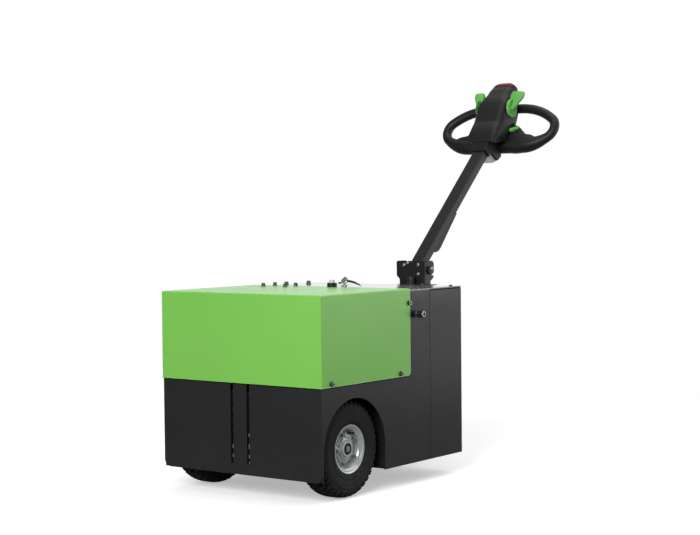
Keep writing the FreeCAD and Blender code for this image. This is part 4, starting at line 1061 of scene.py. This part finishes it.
# Side view of the chin: up the head, off its face.
CHIN_LINE = ((-3.9, 52.4), (5.4, 80.4), (35.2, 84), (60.2, 84), (78.2, 14), (35.2, -14),
             (11.2, 0), (15, 46.1))
CHIN_HALF = 29


def on_head(x, up, off):
    """Point given in the head's own frame."""
    return HEAD + X * (x * MM) + UP_HEAD * (up * MM) + OFF_HEAD * (off * MM)


def skin_rows(shape, rows, count):
    """Skin rounded sections up the head, with this many steps between the rows' ends."""
    shape.skin([shape.ring(on_head(x, up, off) for x, off in rounded_section(*sizes))
                for up, *sizes in eased(rows, count)])


def make_housing():
    """The moulded housing as one smooth surface, with the chin over the arm's end."""
    shell = Shape()
    skin_rows(shell, HOUSING_ROWS, 84)
    made = shell.piece("housing", "tiller", "grip_black", sharp=50)
    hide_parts("head_shell")
    chin = Shape()
    chin.skin([chin.ring(on_head(x, up, off) for up, off in CHIN_LINE)
               for x in (-CHIN_HALF, CHIN_HALF)])
    chin.piece("housing_chin", "tiller", "grip_black", bevel=3, segments=3)


def make_nose():
    """The red button in the head's nose, and the rim round it."""
    cap = Shape()
    skin_rows(cap, BUTTON_ROWS, 24)
    made = cap.piece("nose_button", "tiller", "button_red", sharp=50)
    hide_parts("belly_button")
    rim = Shape()
    inner = rounded_section(43.2, -2.2, 50.2, 24, 24)
    outer = rounded_section(43.9, -2.9, 50.9, 24, 24)
    rim.skin([rim.ring(on_head(x, up, off) for x, off in points)
              for up, points in ((264.4, inner), (264.4, outer), (266.6, outer), (266.6, inner))],
             closed=True)
    rim.piece("nose_rim", "tiller", "grip_black", sharp=40)


# ---- handle

BAR_BACK = 5.3  # the bar's axis, behind the head's frame
GRIP_UP = 69.7
GRIP_HALF = 103
GRIP_RADIUS = 25
BAR_RADIUS = 15.5
SWELL_TURN = 35.5
# The bar's radius over the degrees it has turned since the grip.
SWELL = ((0, GRIP_RADIUS), (8, 24.5), (16, 22.5), (24, 19.5), (30, 17.2), (SWELL_TURN, BAR_RADIUS))
# Bends of the bar's right half, from the grip up: radius of the bend, degrees turned.
BENDS = ((145, 35.5), (43, 105.7), (203, 38.8))
# Right web: from the middle plane, up the head.
WEB_LINE = ((50, 54.7), (130, 54.7), (152, 66), (155, 77), (152, 90), (133.4, 100.6), (109.9, 105),
            (100.1, 113.8), (92.3, 123.4), (81.5, 132.2), (69.7, 138.1), (50, 144))
# Slices of the web: off the head's face, drawn in by.
WEB_SLICES = ((-25.7, 5), (-24.2, 2), (-20.7, 0), (9.3, 0), (12.8, 2), (14.3, 5))


def bar_path():
    """Right half of the handle's bar from the middle of its thick part: (x, height, heading,
    radius) at each station."""
    x, up, heading = GRIP_HALF, GRIP_UP, 0
    made = [(along, up, heading, GRIP_RADIUS) for along in (0, 50, x)]
    swelling = eased(SWELL, int(SWELL_TURN * 4))
    for bend, turn in BENDS:
        steps = max(12, int(turn / 2.6))
        part = radians(turn) / steps
        chord = 2 * bend * sin(part / 2)
        for _ in range(steps):
            x += chord * cos(heading + part / 2)
            up += chord * sin(heading + part / 2)
            heading += part
            turned = min(degrees(heading), SWELL_TURN)
            radius = min(swelling, key=lambda row: abs(row[0] - turned))[1]
            made.append((x, up, heading, radius))
    made.append((0, up, heading, BAR_RADIUS))
    return made


def make_bar():
    """The closed handle's smooth bar, which swells where the hands rest."""
    right = bar_path()
    left = [(-x, up, pi * 2 - heading, radius) for x, up, heading, radius in right[-2:0:-1]]
    bar = Shape()
    rings = []
    for x, up, heading, radius in right + left:
        out_x, out_up = sin(heading), -cos(heading)
        rings.append(bar.ring(
            on_head(x + radius * cos(a) * out_x, up + radius * cos(a) * out_up,
                    radius * sin(a) - BAR_BACK) for a in full_turn(32)))
    bar.skin(rings, closed=True)
    made = bar.piece("handle_bar", "tiller", "grip_black", sharp=50)
    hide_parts("handle_loop")


def make_web():
    """The webs that join the grip to the housing on both sides."""
    web = Shape()
    outline = rounded(WEB_LINE, 5)
    for side, _ in SIDES:
        web.skin([web.ring(on_head(x * side, up, off) for x, up in inward(outline, inset))
                  for off, inset in WEB_SLICES])
    web.piece("handle_web", "tiller", "grip_black", sharp=45)


# ---- thumb levers

BOSS_AT = (57, 180.2, 49)  # from the middle plane, up the head, off its face
PADDLE_ROOT = 56
PADDLE_OFF = 59
PADDLE_CURL = 0.0012  # rise off the face over the square of the way from CURL_UP
CURL_UP = 190
# Right paddle: from the middle plane, up the head.
PADDLE_LINE = ((53, 172), (66, 171), (77, 183), (85, 198), (92, 208), (98, 219), (99.5, 229),
               (97, 235.5), (88, 237.5), (74, 238.5), (60, 238.5), (52, 232), (50, 206))
# Slices of the paddle: below its top, drawn in by.
PADDLE_SLICES = ((-12, 3), (-11, 1), (-9, 0), (-3, 0), (-1, 1), (0, 3))
# Lift of each boss, and reach of each paddle: the left lever stands out less.
LEVERS = {"left": (-5, 0.74), "right": (0, 1)}


def make_lever(name, side):
    """A thumb lever: a dished round boss with a flared paddle over it."""
    lift, reach = LEVERS[name]
    out, up, off = BOSS_AT
    lever = Shape()
    lever.lathe([(0, 0), (29.4, 0.6), (30.2, 1.5), (30.2, 5.6 + lift), (28.8, 8.2 + lift),
                 (26.4, 9.4 + lift), (23.8, 9 + lift), (21.6, 7.8 + lift), (14, 7.2 + lift),
                 (6, 7 + lift), (0, 7 + lift)],
                on_head(out * side, up, off), X * side, 56)
    outline = rounded(PADDLE_LINE, 4)
    lever.skin([lever.ring(
        on_head((PADDLE_ROOT + (x - PADDLE_ROOT) * reach) * side, up,
                PADDLE_OFF + depth + PADDLE_CURL * (up - CURL_UP) ** 2)
        for x, up in inward(outline, inset)) for depth, inset in PADDLE_SLICES])
    made = lever.piece(f"{name}_thumb_lever", "tiller", "lever_green", sharp=45)
    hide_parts(f"thumb_lever_{name}")


# ---- the dressed part

studio()
look()
for wheel_side, hand_name in reversed(SIDES):
    wheel = f"wheel_{hand_name}"
    make_tyre(wheel)
    make_rim(wheel, wheel_side)
    make_disc(wheel, wheel_side)
    make_rim_bolts(wheel, wheel_side)
    make_hub(wheel, wheel_side)
make_hood_screws()
make_top_bolts()
make_rear_screws()
make_key()
make_button_cap()
make_seams()
make_slots()
make_hem()
make_bracket_screws()
make_bracket_leg()
make_bump_stop()
make_knobs()
make_cover()
make_housing()
make_nose()
make_bar()
make_web()
for lever_side, hand_name in SIDES:
    make_lever(hand_name, lever_side)
